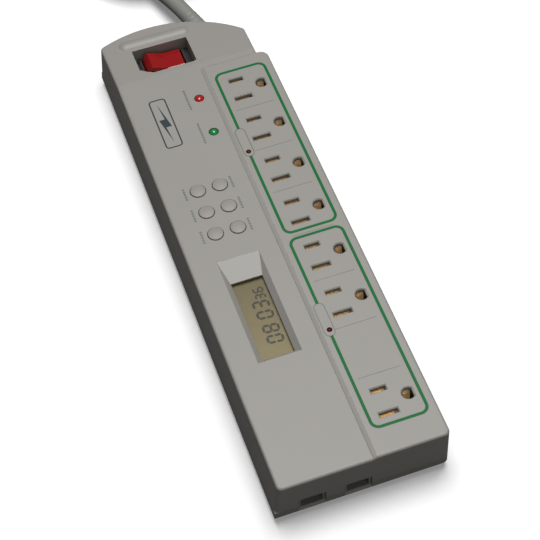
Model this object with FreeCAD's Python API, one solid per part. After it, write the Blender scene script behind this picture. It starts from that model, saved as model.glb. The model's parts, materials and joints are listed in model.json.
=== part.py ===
"""Seven-outlet surge suppressor strip with a digital timer, one STEP file per sub-part.

Frame: millimetres, origin at the middle of the rubber feet's floor plane, +Y towards the cord end,
+X to the right when the cord end points away, +Z up.
"""
import FreeCAD
import Part
import math
import os

from FreeCAD import Vector

os.makedirs("parts", exist_ok=True)

# Case
case_width = 82.0            # across the base tray
case_length = 288.6          # front face to the top of the rear arc
case_height = 28.5           # floor to the outlet bank
foot_height = 1.0            # gap under the base tray
tray_top = 8.5               # height of the parting plane
wall = 2.5
corner_radius = 3.0
corner_round = 2.5           # rounding of the other upright corners
top_edge_radius = 1.2
left_lean = 2.6              # how far the left wall leans inwards towards its top
tray_bevel_in = 3.0          # bevel round the bottom of the tray
tray_bevel_up = 3.5
tray_floor = 2.0

# Outlet bank and head
bank_rise = 0.8              # the bank stands proud of the rest of the top
bank_left = 7.0              # X of the top of the bank's left slope
bank_slope = 2.4
bank_back = 102.1            # Y of the bank's rear edge
bank_corner_radius = 4.5
head_right = 35.9            # X of the narrower head's right side
head_arc_radius = 63.3
head_arc_x = -11.3
head_slope_start = 106.0     # Y where the head starts to fall away
head_slope = 0.0875          # fall per unit of length

# Outlets
outlet_pitch = 28.5
outlet_steps = [0, 2, 3, 4, 5, 6, 7]   # places of the outlets, in pitches from the front one
first_outlet_y = -118.6
blade_line_x = 19.6
blade_spacing = 12.7
ground_offset = 11.9
hot_slot_length = 7.2
neutral_slot_length = 8.9
slot_width = 2.3
slot_bevel = 0.5
ground_radius = 3.0
ground_flat = 2.2            # from the hole's centre to its flat side
groove_depth = 0.15
groove_width = 0.5

# Rocker switch
switch_x = -9.4
switch_y = 120.6
switch_opening = (29.7, 16.0)
rocker_width = 12.0          # along Y
rocker_reach = 10.6          # radius of the rocker's ends about its pivot
rocker_pivot_z = 16.6
rocker_rest_angle = 11.0     # the rocker rests switched on
rocker_clearance = 0.35
rocker_pin_radius = 1.2
pin_clearance = 0.05
switch_frame_top = 17.8
switch_frame_bottom = 6.2

# Display
lcd_x = -15.0
lcd_y = -55.05
lcd_window = (15.6, 45.5)
lcd_recess_depth = 2.6
lcd_floor = 1.0
lcd_slopes = {"left": 2.6, "right": 2.7, "front": 2.4, "back": 12.3}

# Keys
key_columns = (-20.6, -9.35)
key_rows = (24.6, 10.6, -3.4)
key_radius = 3.75
key_gap = 0.3
key_travel = 0.8
key_crown = 0.9              # how far a key stands out of the top

# Lamps
status_lamp_x = -1.6
status_lamp_rows = {"red": 82.5, "green": 58.4}
status_lamp_radius = 2.5
timer_lamp_radius = 1.25
timer_lamps = {"rear": (10.3, 39.0), "front": (10.6, -74.9)}
lamp_gap = 0.08

# Phone-line jacks
jack_columns = {"in": -23.3, "out": -1.9}
jack_opening = (12.7, 7.4)
jack_cavity = (10.0, 7.0)
jack_depth = 12.0
jack_z = 9.8                 # height of the opening's middle
jack_lip = 1.0               # slope at the opening's lower edge

# Boards and fasteners
board_thickness = 1.6
timer_board_z = 16.5
power_board_z = 5.0
screw_left_x = -33.0
screw_right_x = 36.2
screw_left_rows = (-110.0, -22.0, 100.0)
screw_right_rows = (-90.1, 9.65, 66.65)
boss_radius = 2.8
screw_radius = 1.5
board_screw_radius = 0.88
foot_radius = 6.0

# Cord
cord_diameter = 9.0
relief_length = 20.0
relief_neck_radius = cord_diameter / 2.0 + 0.6
relief_grip = wall + 14.0    # length of the relief inside the case
cord_exit_inset = 8.1        # from the case's rear end to where the cord leaves its curved wall
cord_exit = Vector(19.8, case_length / 2.0 - cord_exit_inset, 11.5)
cord_heading = 15.0          # degrees from +Y towards -X where the cord leaves
cord_points = [(14.62, 155.52, 11.5), (11.0, 169.04, 11.5), (2.5, 194.3, 7.6), (-6.7, 216.5, 5.5)]
coil_centre = Vector(39.0, 235.5, 1.0)
coil_mean_radius = 45.0
coil_start_angle = 202.6
tail_points = [(32.1, 186.5, 14.5), (15.5, 188.8, 18.6), (-2.3, 191.1, 18.4), (-18.7, 202.3, 14.6),
               (-28.0, 219.8, 12.6), (-28.0, 230.5, 12.6)]

main_top = case_height - bank_rise
skin_bottom = main_top - wall
outlet_rows = [first_outlet_y + step * outlet_pitch for step in outlet_steps]
tray_inner = foot_height + tray_floor
half_width = case_width / 2.0
half_length = case_length / 2.0
rim_zone = case_height - 6.0   # the rims of the top lie above this height
FAR = 400.0

# Carrier, boards and keyholes
screw_head_radius = 2.8
carrier_z = 8.0
carrier_thickness = 2.0
carrier_x0 = 9.0
carrier_x1 = 33.3
carrier_y0 = first_outlet_y - outlet_pitch / 2.0 - 5.0
carrier_y1 = outlet_rows[-1] + outlet_pitch / 2.0 + 2.0
carrier_ribs = (carrier_y0 + 12.0, -47.0, 38.0, carrier_y1 - 12.0)
keyhole_x = 5.4
keyhole_rows = (-112.0, 88.0)
keyhole_radius = 3.8
keyhole_neck = 2.2
keyhole_drop = 9.0
power_board = (-29.0, 1.4, -86.0, 38.0)
surge_board = (-29.0, 1.4, 42.0, 106.0)
timer_board = (-29.0, -1.0, -88.0, 34.0)

# Contacts
strip_thickness = 0.8
contact_z = carrier_z + carrier_thickness
leaf_top = case_height - wall - 0.5
leaf_gap = 1.3

# Keys' insides
key_flange_top = skin_bottom - key_gap
key_flange = 0.8
key_stem_bottom = key_flange_top - key_flange - 0.6

# Lamps' boards
lamp_board_z = 17.0

# Jacks' insides
jack_front = -half_length + 1.0
jack_wall = 1.3
jack_board_z = tray_inner + 0.4

# Wires and routes
run_share = 0.45
wire_diameter = 2.2
wire_routes = {
    "wire_line": [(22.2, 118.4, 11.8), (15.5, 116.4, 9.4), (7.5, 117.4, 5.4), (-1.4, 120.6, 4.6)],
    "wire_neutral": [(23.5, 118.0, 9.0), (19.0, 110.0, 7.9), (10.0, 102.6, 7.8), (-0.5, 100.8, 7.8)],
    "wire_ground": [(25.8, 118.8, 13.2), (29.6, 112.0, 12.7), (31.6, 99.5, 12.1), (31.4, 86.4, 12.0)],
    "wire_hot_rear": [(0.0, 29.4, 7.8), (4.4, 30.6, 9.0), (8.0, 33.2, 11.9), (12.6, 35.4, 12.3)],
    "wire_hot_front": [(0.0, -29.4, 7.8), (4.4, -30.6, 9.0), (8.0, -33.2, 11.9), (12.6, -35.4, 12.3)],
}

# Mains plug
plug_body_size = (25.0, 30.0, 24.4)
plug_blade_rise = 6.0        # blades' middle above the body's middle
blade_size = (1.5, 17.0, 6.35)
plug_pin_radius = 2.38
plug_pin_length = 20.5


def box(x0, x1, y0, y1, z0, z1):
    """Box between two corners."""
    return Part.makeBox(x1 - x0, y1 - y0, z1 - z0, Vector(x0, y0, z0))


def centred_box(x, y, width, length, z0, z1):
    """Box centred on a point in plan."""
    return box(x - width / 2.0, x + width / 2.0, y - length / 2.0, y + length / 2.0, z0, z1)


def rod(x, y, radius, z0, z1):
    """Upright cylinder."""
    return Part.makeCylinder(radius, z1 - z0, Vector(x, y, z0))


def fuse(shapes):
    """One solid out of several that touch or overlap."""
    return shapes[0].multiFuse(shapes[1:]).removeSplitter()


def group(shapes):
    """Separate solids kept together in one sub-part."""
    return Part.makeCompound(shapes)


def rectangle(x, y, width, length, z):
    """Closed rectangular wire in a level plane."""
    return Part.makePolygon([
        Vector(x - width / 2.0, y - length / 2.0, z),
        Vector(x + width / 2.0, y - length / 2.0, z),
        Vector(x + width / 2.0, y + length / 2.0, z),
        Vector(x - width / 2.0, y + length / 2.0, z),
        Vector(x - width / 2.0, y - length / 2.0, z),
    ])


def funnel(x, y, width, length, z0, z1, spread):
    """Rectangular funnel that widens by spread on every side from z0 up to z1."""
    low = rectangle(x, y, width, length, z0)
    high = rectangle(x, y, width + 2 * spread, length + 2 * spread, z1)
    return Part.makeLoft([low, high], True, True)


def slab(profile, axis, start, length):
    """Prism of a closed profile, given in the plane square to axis, run along that axis."""
    if axis == "X":
        points = [Vector(start, a, b) for a, b in profile]
        direction = Vector(length, 0, 0)
    else:
        points = [Vector(a, start, b) for a, b in profile]
        direction = Vector(0, length, 0)
    return Part.Face(Part.makePolygon(points + [points[0]])).extrude(direction)


def save(name, shape):
    """Write one sub-part."""
    shape.exportStep("parts/" + name + ".step")


# Case outline

def corner_arc(corner, before, after, radius):
    """Arc that rounds a corner between two directions of travel, with its two end points."""
    start = corner - before * radius
    end = corner + after * radius
    centre = corner - before * radius + after * radius
    middle = centre + (corner - centre).normalize() * radius
    return Part.Arc(start, middle, end).toShape(), start, end


def arc_height(x, inset):
    """Y of the rear arc at x, for an outline drawn in by inset."""
    centre_y = half_length - head_arc_radius
    return centre_y + math.sqrt((head_arc_radius - inset) ** 2 - (x - head_arc_x) ** 2)


def outline(inset, z):
    """Plan outline of the case, drawn in by inset, as a wire at height z."""
    left = -half_width + inset
    right = half_width - inset
    front = -half_length + inset
    shoulder = head_right - inset
    back = bank_back - inset
    radius_bank = bank_corner_radius
    east = Vector(1, 0, 0)
    north = Vector(0, 1, 0)
    front_left = Vector(left, front, z)
    front_right = corner_arc(Vector(right, front, z), east, north, corner_radius)
    bank_corner = corner_arc(Vector(right, back, z), north, -east, radius_bank)
    inner_corner = Vector(shoulder, back, z)
    arc_right = Vector(shoulder, arc_height(shoulder, inset), z)
    arc_left = Vector(left, arc_height(left, inset), z)
    arc_top = Vector(head_arc_x, arc_height(head_arc_x, inset), z)
    edges = [
        Part.makeLine(front_left, front_right[1]),
        front_right[0],
        Part.makeLine(front_right[2], bank_corner[1]),
        bank_corner[0],
        Part.makeLine(bank_corner[2], inner_corner),
        Part.makeLine(inner_corner, arc_right),
        Part.Arc(arc_right, arc_top, arc_left).toShape(),
        Part.makeLine(arc_left, front_left),
    ]
    return Part.Wire(edges)


def case_prism(inset, z0, z1):
    """Prism of the case outline."""
    return Part.Face(outline(inset, z0)).extrude(Vector(0, 0, z1 - z0))


def lean_cutter():
    """Everything left of the leaning left wall."""
    low = foot_height + tray_bevel_up
    rise = case_height - low
    lean_per_z = left_lean / rise
    base_x = -half_width - lean_per_z * low
    top_x = -half_width + lean_per_z * (2 * case_height - low)
    profile = [(-FAR, 0.0), (base_x, 0.0), (top_x, 2 * case_height), (-FAR, 2 * case_height)]
    return slab(profile, "Y", -FAR, 2 * FAR)


def head_cutter(plain):
    """Everything above the head's slope, which starts at the height of the plain top."""
    high = 2 * case_height
    profile = [(head_slope_start, plain), (head_slope_start + FAR, plain - head_slope * FAR),
               (head_slope_start + FAR, high), (head_slope_start, high)]
    return slab(profile, "X", -FAR, 2 * FAR)


def bank_zone(drop, z0):
    """Region of the outlet bank above z0, with its sloping left side, lowered by drop."""
    foot = bank_left - bank_slope
    profile = [(foot, z0), (FAR, z0), (FAR, case_height - drop), (bank_left, case_height - drop),
               (foot, main_top - drop)]
    return slab(profile, "Y", -FAR, FAR + bank_back)


def head_top(y):
    """Height of the head's sloping top at y."""
    return main_top - head_slope * (y - head_slope_start)


def rim_edges(shape):
    """Edges where a top face, level or gently sloping, meets an upright outer face."""
    found = []
    for edge in shape.Edges:
        if edge.BoundBox.ZMin < rim_zone:
            continue
        tilts = []
        for face in shape.ancestorsOfType(edge, Part.Face):
            middle = (edge.FirstParameter + edge.LastParameter) / 2.0
            u, v = face.Surface.parameter(edge.valueAt(middle))
            tilts.append(abs(face.normalAt(u, v).z))
        if len(tilts) == 2 and max(tilts) > 0.9 and min(tilts) < 0.3:
            found.append(edge)
    return found


def upright_corners(shape):
    """The case's sharp upright corners: both ends of the left wall and the head's right end."""
    found = []
    for edge in shape.Edges:
        bounds = edge.BoundBox
        on_left = bounds.XMax < -half_width + 2 * left_lean
        on_head = abs(bounds.XMin - head_right) < 0.1 and abs(bounds.XMax - head_right) < 0.1
        if bounds.ZLength > 10.0 and (on_left or (on_head and bounds.YMin > bank_back + 1.0)):
            found.append(edge)
    return found


def case_shell():
    """Top housing's outer body with rounded rims, and the hollow to cut out of it."""
    outer = case_prism(0.0, tray_top, case_height).cut(lean_cutter())
    outer = outer.makeFillet(corner_round, upright_corners(outer))
    plain = outer.cut(box(-FAR, FAR, -FAR, FAR, main_top, FAR)).cut(head_cutter(main_top))
    plain = plain.removeSplitter()
    plain = plain.makeFillet(top_edge_radius, rim_edges(plain))
    bank = outer.common(bank_zone(0.0, rim_zone - 4.0)).removeSplitter()
    bank = bank.makeFillet(top_edge_radius, rim_edges(bank))
    hollow = case_prism(wall, tray_top - 1.0, case_height)
    hollow = hollow.cut(lean_cutter().translated(Vector(wall, 0, 0)))
    low_hollow = hollow.cut(box(-FAR, FAR, -FAR, FAR, skin_bottom, FAR)).cut(head_cutter(skin_bottom))
    bank_hollow = hollow.common(bank_zone(wall, tray_top))
    bank_hollow = bank_hollow.common(box(-FAR, FAR, -FAR, bank_back - wall, 0.0, FAR))
    return plain.fuse(bank), low_hollow.fuse(bank_hollow)


def guard_ridge():
    """Low rounded ridge behind the switch, which keeps it from being knocked."""
    radius = 5.0
    rise = 1.3
    y = switch_y + switch_opening[1] / 2.0 + 5.2
    z = head_top(y) + rise - radius
    x0 = switch_x - switch_opening[0] / 2.0 - 2.0
    length = switch_opening[0] + 2.0
    bar = Part.makeCylinder(radius, length, Vector(x0, y, z), Vector(1, 0, 0))
    ends = [Part.makeSphere(radius, Vector(x0, y, z)), Part.makeSphere(radius, Vector(x0 + length, y, z))]
    return fuse([bar] + ends)


def screw_places():
    """Plan positions of the screws that hold the tray to the housing."""
    left = [(screw_left_x, y) for y in screw_left_rows]
    return left + [(screw_right_x, y) for y in screw_right_rows]


def key_places():
    """Names and plan positions of the six keys."""
    rows = ("rear", "middle", "front")
    columns = ("left", "right")
    places = {}
    for row, y in zip(rows, key_rows):
        for column, x in zip(columns, key_columns):
            places["key_" + row + "_" + column] = (x, y)
    return places


def ground_hole(y, radius, flat, z0, z1):
    """D-shaped prism: round towards the slots, flat on the far side."""
    x = blade_line_x + ground_offset - 0.2
    return rod(x, y, radius, z0, z1).common(box(x - FAR, x + flat, y - FAR, y + FAR, z0, z1))


def outlet_cutter(y):
    """Slots, ground hole and their bevelled mouths of one outlet."""
    low = case_height - wall - 1.0
    top = case_height
    mouth = top - slot_bevel
    pieces = []
    slots = ((blade_spacing / 2.0, hot_slot_length), (-blade_spacing / 2.0, neutral_slot_length))
    for offset, length in slots:
        pieces.append(centred_box(blade_line_x, y + offset, length, slot_width, low, top + 1.0))
        pieces.append(funnel(blade_line_x, y + offset, length, slot_width, mouth, top + 0.01, slot_bevel))
    pieces.append(ground_hole(y, ground_radius, ground_flat, low, top + 1.0))
    x = blade_line_x + ground_offset - 0.2
    cone = Part.makeCone(ground_radius, ground_radius + slot_bevel, slot_bevel + 0.01, Vector(x, y, mouth))
    pieces.append(cone.common(box(x - FAR, x + ground_flat + slot_bevel, y - FAR, y + FAR, mouth, FAR)))
    return pieces


def groove_rows():
    """Y of each shallow line moulded between the outlets."""
    rows = []
    for low, high in zip(outlet_rows[:-1], outlet_rows[1:]):
        rows.append(low + outlet_pitch / 2.0)
        if high - low > 1.5 * outlet_pitch:
            rows.append(high - outlet_pitch / 2.0)
    return rows


def switch_cutter():
    """Opening for the switch, with a scooped finger relief at its front edge."""
    width, length = switch_opening
    opening = centred_box(switch_x, switch_y, width, length, switch_frame_top, FAR)
    scoop_radius = 28.0
    scoop_depth = 2.0
    front = switch_y - length / 2.0
    scoop = Part.makeCylinder(scoop_radius, 40.0, Vector(0, 0, -20.0), Vector(0, 0, 1))
    scoop.rotate(Vector(0, 0, 0), Vector(1, 0, 0), 30.0)
    scoop.translate(Vector(switch_x + 2.4, front + scoop_radius - scoop_depth, head_top(front)))
    limit = centred_box(switch_x, switch_y - 2.0, width, length + 4.0, switch_frame_top + 2.0, FAR)
    return opening.fuse(scoop.common(limit))


def lcd_frustum():
    """Recess of the display, whose rear side is a long ramp."""
    width, length = lcd_window
    z0 = main_top - lcd_recess_depth
    left = lcd_x - width / 2.0
    right = lcd_x + width / 2.0
    front = lcd_y - length / 2.0
    back = lcd_y + length / 2.0
    low = rectangle(lcd_x, lcd_y, width, length, z0)
    top_left = left - lcd_slopes["left"]
    top_right = right + lcd_slopes["right"]
    top_front = front - lcd_slopes["front"]
    top_back = back + lcd_slopes["back"]
    high = rectangle((top_left + top_right) / 2.0, (top_front + top_back) / 2.0,
                     top_right - top_left, top_back - top_front, main_top)
    return Part.makeLoft([low, high], True, True)


def lcd_backing():
    """Thickening under the display's recess."""
    width, length = lcd_window
    margin = 3.0
    y0 = lcd_y - length / 2.0 - margin
    y1 = lcd_y + length / 2.0 + lcd_slopes["back"] * 0.6
    z0 = main_top - lcd_recess_depth - lcd_floor
    return box(lcd_x - width / 2.0 - margin, lcd_x + width / 2.0 + margin, y0, y1, z0, skin_bottom + 0.5)


def build_top_housing():
    """Upper half of the case, with every opening of the top."""
    outer, hollow = case_shell()
    outer = outer.fuse(guard_ridge())
    shell = outer.cut(hollow)
    width, length = switch_opening
    rib = 1.6
    skirt = centred_box(switch_x, switch_y, width + 2 * rib, length + 2 * rib, switch_frame_top,
                        head_top(switch_y) - 1.0)
    additions = [skirt, lcd_backing()]
    for x, y in screw_places():
        additions.append(rod(x, y, boss_radius, tray_top, head_top(max(y, head_slope_start)) - 1.0))
    for x, y in board_screw_places():
        additions.append(rod(x, y, 2.2, timer_board_z + board_thickness, skin_bottom + 0.5))
    shell = shell.multiFuse(additions)
    cutters = [switch_cutter(), lcd_frustum()]
    cutters.append(centred_box(lcd_x, lcd_y, lcd_window[0], lcd_window[1], skin_bottom - 3.0, main_top))
    for x, y in key_places().values():
        cutters.append(rod(x, y, key_radius + key_gap, skin_bottom - 1.0, FAR))
    for y in status_lamp_rows.values():
        cutters.append(rod(status_lamp_x, y, status_lamp_radius + lamp_gap, skin_bottom - 1.0, FAR))
    for x, y in timer_lamps.values():
        cutters.append(rod(x, y, timer_lamp_radius + lamp_gap, skin_bottom - 1.0, FAR))
    for y in outlet_rows:
        cutters.extend(outlet_cutter(y))
    for y in groove_rows():
        cutters.append(box(bank_left + 6.0, half_width - 8.0, y - groove_width / 2.0,
                           y + groove_width / 2.0, case_height - groove_depth, FAR))
    for x in jack_columns.values():
        cutters.append(jack_mouth(x))
        cutters.append(jack_pocket(x))
    for x, y in screw_places():
        cutters.append(rod(x, y, screw_radius, tray_top - 1.0, tray_top + 10.0))
    for x, y in board_screw_places():
        cutters.append(rod(x, y, board_screw_radius + 0.02, timer_board_z, timer_board_z + 6.0))
    cutters.append(relief_hole())
    return shell.cut(group_fuse(cutters))


def group_fuse(shapes):
    """Union of cutters, none of which is kept as a part."""
    return shapes[0].multiFuse(shapes[1:])


def jack_mouth(x):
    """Opening of one phone-line jack through the front wall."""
    width, height = jack_opening
    return box(x - width / 2.0, x + width / 2.0, -half_length - 1.0, -half_length + wall + 1.0,
               jack_z - height / 2.0, jack_z + height / 2.0)


def jack_lip_cutter(x):
    """Slope at the lower edge of one jack's opening."""
    width, height = jack_opening
    low = jack_z - height / 2.0
    front = -half_length
    profile = [(front - 1.0, low - 2 * jack_lip), (front + jack_lip, low), (front + jack_lip, low + 0.1),
               (front - 1.0, low + 0.1)]
    return slab(profile, "X", x - width / 2.0, width)


def jack_pocket(x):
    """Room behind the front wall for one jack's body."""
    half = jack_cavity[0] / 2.0 + jack_wall + 0.1
    return box(x - half, x + half, jack_front - 0.1, -half_length + wall + 3.0, tray_inner,
               jack_z + jack_cavity[1] / 2.0 + jack_wall + 0.1)


def heading_vector():
    """Direction in which the cord leaves the case."""
    angle = math.radians(cord_heading)
    return Vector(-math.sin(angle), math.cos(angle), 0)


def relief_hole():
    """Round hole in the rear wall for the strain relief's neck."""
    start = cord_exit - heading_vector() * relief_grip
    return Part.makeCylinder(relief_neck_radius + 0.1, 2 * relief_grip, start, heading_vector())


def build_base_tray():
    """Lower half of the case: a bevelled pan with ribs, screw holes and keyhole slots."""
    bevel = Part.makeLoft([outline(tray_bevel_in, foot_height), outline(0.0, foot_height + tray_bevel_up)],
                          True, True)
    body = bevel.fuse(case_prism(0.0, foot_height + tray_bevel_up, tray_top))
    body = body.cut(lean_cutter())
    hollow = case_prism(wall + 1.6, tray_inner, tray_top + 1.0)
    tray = body.cut(hollow)
    additions = []
    for x, y in screw_places():
        additions.append(rod(x, y, boss_radius + 1.0, tray_inner - 0.5, tray_top))
    for y in carrier_ribs:
        additions.append(box(carrier_x0, carrier_x1, y - 1.0, y + 1.0, tray_inner - 0.5, carrier_z))
    for x, y in board_post_places():
        additions.append(rod(x, y, 2.5, tray_inner - 0.5, power_board_z))
    tray = tray.multiFuse(additions)
    cutters = []
    for x in jack_columns.values():
        cutters.append(jack_mouth(x))
        cutters.append(jack_lip_cutter(x))
        cutters.append(jack_pocket(x))
    for x, y in screw_places():
        cutters.append(rod(x, y, screw_radius + 0.2, 0.0, tray_top + 1.0))
        cutters.append(rod(x, y, screw_head_radius + 0.2, 0.0, foot_height + 2.6))
    for y in keyhole_rows:
        neck = keyhole_neck
        cutters.append(rod(keyhole_x, y, keyhole_radius, 0.0, tray_inner + 1.0))
        cutters.append(rod(keyhole_x, y + keyhole_drop, neck, 0.0, tray_inner + 1.0))
        cutters.append(box(keyhole_x - neck, keyhole_x + neck, y, y + keyhole_drop, 0.0, tray_inner + 1.0))
    cutters.append(relief_hole())
    return tray.cut(group_fuse(cutters))


def board_post_places():
    """Posts of the tray under the corners of the two lower boards."""
    places = []
    for x0, x1, y0, y1 in (power_board, surge_board):
        for x in (x0 + 4.0, x1 - 4.0):
            for y in (y0 + 4.0, y1 - 4.0):
                places.append((x, y))
    return places


def board_screw_places():
    """Bosses of the housing that hold the timer board."""
    x0, x1, y0, y1 = timer_board
    return [(x, y) for x in (x0 + 2.6, x1 - 2.6) for y in (y0 + 3.0, y1 - 3.4)]


def board_plate(spec, z):
    """Plain circuit board."""
    x0, x1, y0, y1 = spec
    return box(x0, x1, y0, y1, z, z + board_thickness)


def build_timer_board():
    """Timer board with its four screw holes."""
    plate = board_plate(timer_board, timer_board_z)
    for x, y in board_screw_places():
        plate = plate.cut(rod(x, y, board_screw_radius + 0.1, 0.0, FAR))
    return plate


# Fasteners and feet

def build_housing_screws():
    """Six pan-head screws, driven from below."""
    screws = []
    for x, y in screw_places():
        head = rod(x, y, screw_head_radius, foot_height + 0.4, foot_height + 2.6)
        slot = centred_box(x, y, 3.6, 0.8, 0.0, foot_height + 1.2)
        slot = slot.fuse(centred_box(x, y, 0.8, 3.6, 0.0, foot_height + 1.2))
        shank = rod(x, y, screw_radius - 0.02, foot_height + 2.6, tray_top + 9.0)
        screws.append(fuse([head, shank]).cut(slot))
    return group(screws)


def foot_places():
    """Plan positions of the four feet."""
    x = half_width - tray_bevel_in - foot_radius - 3.0
    front = -half_length + tray_bevel_in + foot_radius + 3.0
    back = bank_back - foot_radius
    return [(-x, front), (x, front), (-x, back), (x, back)]


def build_rubber_feet():
    """Four round stick-on feet with rounded rims."""
    feet = []
    for x, y in foot_places():
        foot = rod(x, y, foot_radius, 0.0, foot_height)
        rims = [edge for edge in foot.Edges if edge.BoundBox.ZMax < 0.1]
        feet.append(foot.makeFillet(0.4, rims))
    return group(feet)


def build_board_screws():
    """Four small screws that hold the timer board to the housing."""
    screws = []
    for x, y in board_screw_places():
        head = rod(x, y, 1.8, timer_board_z - 1.2, timer_board_z)
        shank = rod(x, y, board_screw_radius, timer_board_z, timer_board_z + 5.5)
        screws.append(fuse([head, shank]))
    return group(screws)


# Contacts


def contact_pair(x0, x1, y, gap, z0):
    """Two upright spring leaves, with lips that flare at the top."""
    leaves = []
    for side in (-1, 1):
        inner = y + side * gap / 2.0
        outer = inner + side * strip_thickness
        flare = inner + side * 0.9
        lip = leaf_top - 1.6
        if side > 0:
            profile = [(inner, z0), (outer, z0), (outer, lip), (flare + strip_thickness, leaf_top),
                       (flare, leaf_top), (inner, lip)]
        else:
            profile = [(inner, z0), (inner, lip), (flare, leaf_top), (flare - strip_thickness, leaf_top),
                       (outer, lip), (outer, z0)]
        leaves.append(slab(profile, "X", x0, x1 - x0))
    return leaves


def contact_strip(strip_x0, strip_x1, reach_x0, reach_x1, rows, gap, leaf_x0, leaf_x1):
    """Contact strip: a rail along Y, and at each row a tab that carries a pair of leaves."""
    z0 = contact_z
    z1 = contact_z + strip_thickness
    half = gap / 2.0 + strip_thickness
    pieces = [box(strip_x0, strip_x1, rows[0] - 6.0, rows[-1] + 6.0, z0, z1)]
    for y in rows:
        pieces.append(box(reach_x0, reach_x1, y - half, y + half, z0, z1))
        pieces.extend(contact_pair(leaf_x0, leaf_x1, y, gap, z0))
    return fuse(pieces)


def build_hot_strip(rows):
    """Hot contact strip of one switched group of outlets."""
    shifted = [y + blade_spacing / 2.0 for y in rows]
    inner = blade_line_x - 4.4
    return contact_strip(inner - 4.4, inner - 1.2, inner - 4.4, inner + 7.6, shifted, leaf_gap, inner,
                         inner + 7.6)


def build_neutral_strip():
    """Neutral contact strip of all the outlets."""
    shifted = [y - blade_spacing / 2.0 for y in outlet_rows]
    inner = blade_line_x - 4.0
    return contact_strip(inner + 9.6, inner + 12.2, inner, inner + 12.2, shifted, leaf_gap, inner,
                         inner + 7.6)


def build_ground_strip():
    """Ground contact strip of all the outlets."""
    x = blade_line_x + ground_offset
    return contact_strip(x - 1.7, x + 1.7, x - 1.7, x + 1.7, outlet_rows, 4.9, x - 1.7, x + 1.7)


def build_contact_carrier():
    """Insulating plate that the contact strips lie on, with ribs between the outlets."""
    plate = box(carrier_x0, carrier_x1, carrier_y0, carrier_y1, carrier_z, contact_z)
    ribs = []
    for y in groove_rows():
        ribs.append(box(15.0, 22.6, y - 0.7, y + 0.7, carrier_z, contact_z + 9.0))
    carrier = fuse([plate] + ribs)
    for x, y in screw_places():
        carrier = carrier.cut(rod(x, y, boss_radius + 1.3, 0.0, FAR))
    return carrier


# Switch

def switch_frame_box(extra_x, extra_y, z0, z1):
    """Box round the rocker's well."""
    well_x = 2 * (rocker_reach + rocker_clearance)
    well_y = rocker_width + 2 * rocker_clearance
    return centred_box(switch_x, switch_y, well_x + 2 * extra_x, well_y + 2 * extra_y, z0, z1)


def pivot_pin(radius, half_span):
    """Pin along Y through the rocker's pivot."""
    return Part.makeCylinder(radius, 2 * half_span, Vector(switch_x, switch_y - half_span, rocker_pivot_z),
                             Vector(0, 1, 0))


def build_switch_frame():
    """Switch body with its flange and the well in which the rocker turns."""
    flange = centred_box(switch_x, switch_y, switch_opening[0] + 3.2, switch_opening[1] + 3.2,
                         switch_frame_top - 1.6, switch_frame_top)
    body = switch_frame_box(1.6, 1.2, switch_frame_bottom, switch_frame_top)
    collar = switch_frame_box(1.2, 1.0, switch_frame_top, switch_frame_top + 1.4)
    frame = fuse([flange, body, collar])
    well = switch_frame_box(0.0, 0.0, switch_frame_bottom + 3.0, FAR)
    hole = pivot_pin(rocker_pin_radius + pin_clearance, rocker_width / 2.0 + 1.4)
    return frame.cut(well).cut(hole)


def build_rocker():
    """Rocker: round-ended about its pivot, with a shallow hollow between its two raised ends."""
    reach = rocker_reach
    drum = Part.makeCylinder(reach, rocker_width, Vector(0, -rocker_width / 2.0, 0), Vector(0, 1, 0))
    profile = [(-reach, -2.6), (reach, -2.6), (reach, 6.4), (0.0, 4.6), (-reach, 6.4)]
    block = slab(profile, "Y", -rocker_width / 2.0, rocker_width)
    body = drum.common(block)
    rims = [edge for edge in body.Edges if edge.BoundBox.ZMin > 4.0 and edge.BoundBox.YLength < 1.0]
    body = body.makeFillet(0.6, rims)
    body.rotate(Vector(0, 0, 0), Vector(0, 1, 0), rocker_rest_angle)
    body.translate(Vector(switch_x, switch_y, rocker_pivot_z))
    return fuse([body, pivot_pin(rocker_pin_radius, rocker_width / 2.0 + 1.1)])


def build_switch_terminals():
    """Three flat terminals under the switch."""
    blades = []
    for offset in (-7.0, 0.0, 7.0):
        blades.append(centred_box(switch_x + offset, switch_y, 0.8, 4.8, tray_inner + 0.3,
                                  switch_frame_bottom))
    return group(blades)


# Display and keys

def build_lcd_window():
    """Clear window under the recess."""
    z1 = main_top - lcd_recess_depth - lcd_floor
    plate = centred_box(lcd_x, lcd_y, lcd_window[0] + 4.0, lcd_window[1] + 4.0, z1 - 1.2, z1)
    return plate


def build_lcd_panel():
    """Liquid crystal glass under the window."""
    z1 = main_top - lcd_recess_depth - lcd_floor - 1.2
    return centred_box(lcd_x, lcd_y, lcd_window[0] + 3.0, lcd_window[1] + 3.0, z1 - 2.8, z1)


def build_lcd_connectors():
    """Two elastomer strips between the board and the panel."""
    z0 = timer_board_z + board_thickness
    z1 = main_top - lcd_recess_depth - lcd_floor - 4.0
    strips = []
    for side in (-1, 1):
        x = lcd_x + side * (lcd_window[0] / 2.0 - 0.5)
        strips.append(centred_box(x, lcd_y, 2.0, lcd_window[1], z0, z1))
    return group(strips)


def build_tact_switches():
    """Six key switches on the timer board."""
    z0 = timer_board_z + board_thickness
    switches = []
    for x, y in key_places().values():
        case = centred_box(x, y, 6.0, 6.0, z0, z0 + 3.5)
        plunger = rod(x, y, 1.75, z0 + 3.5, key_stem_bottom - key_travel - 0.3)
        switches.append(fuse([case, plunger]))
    return group(switches)


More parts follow.
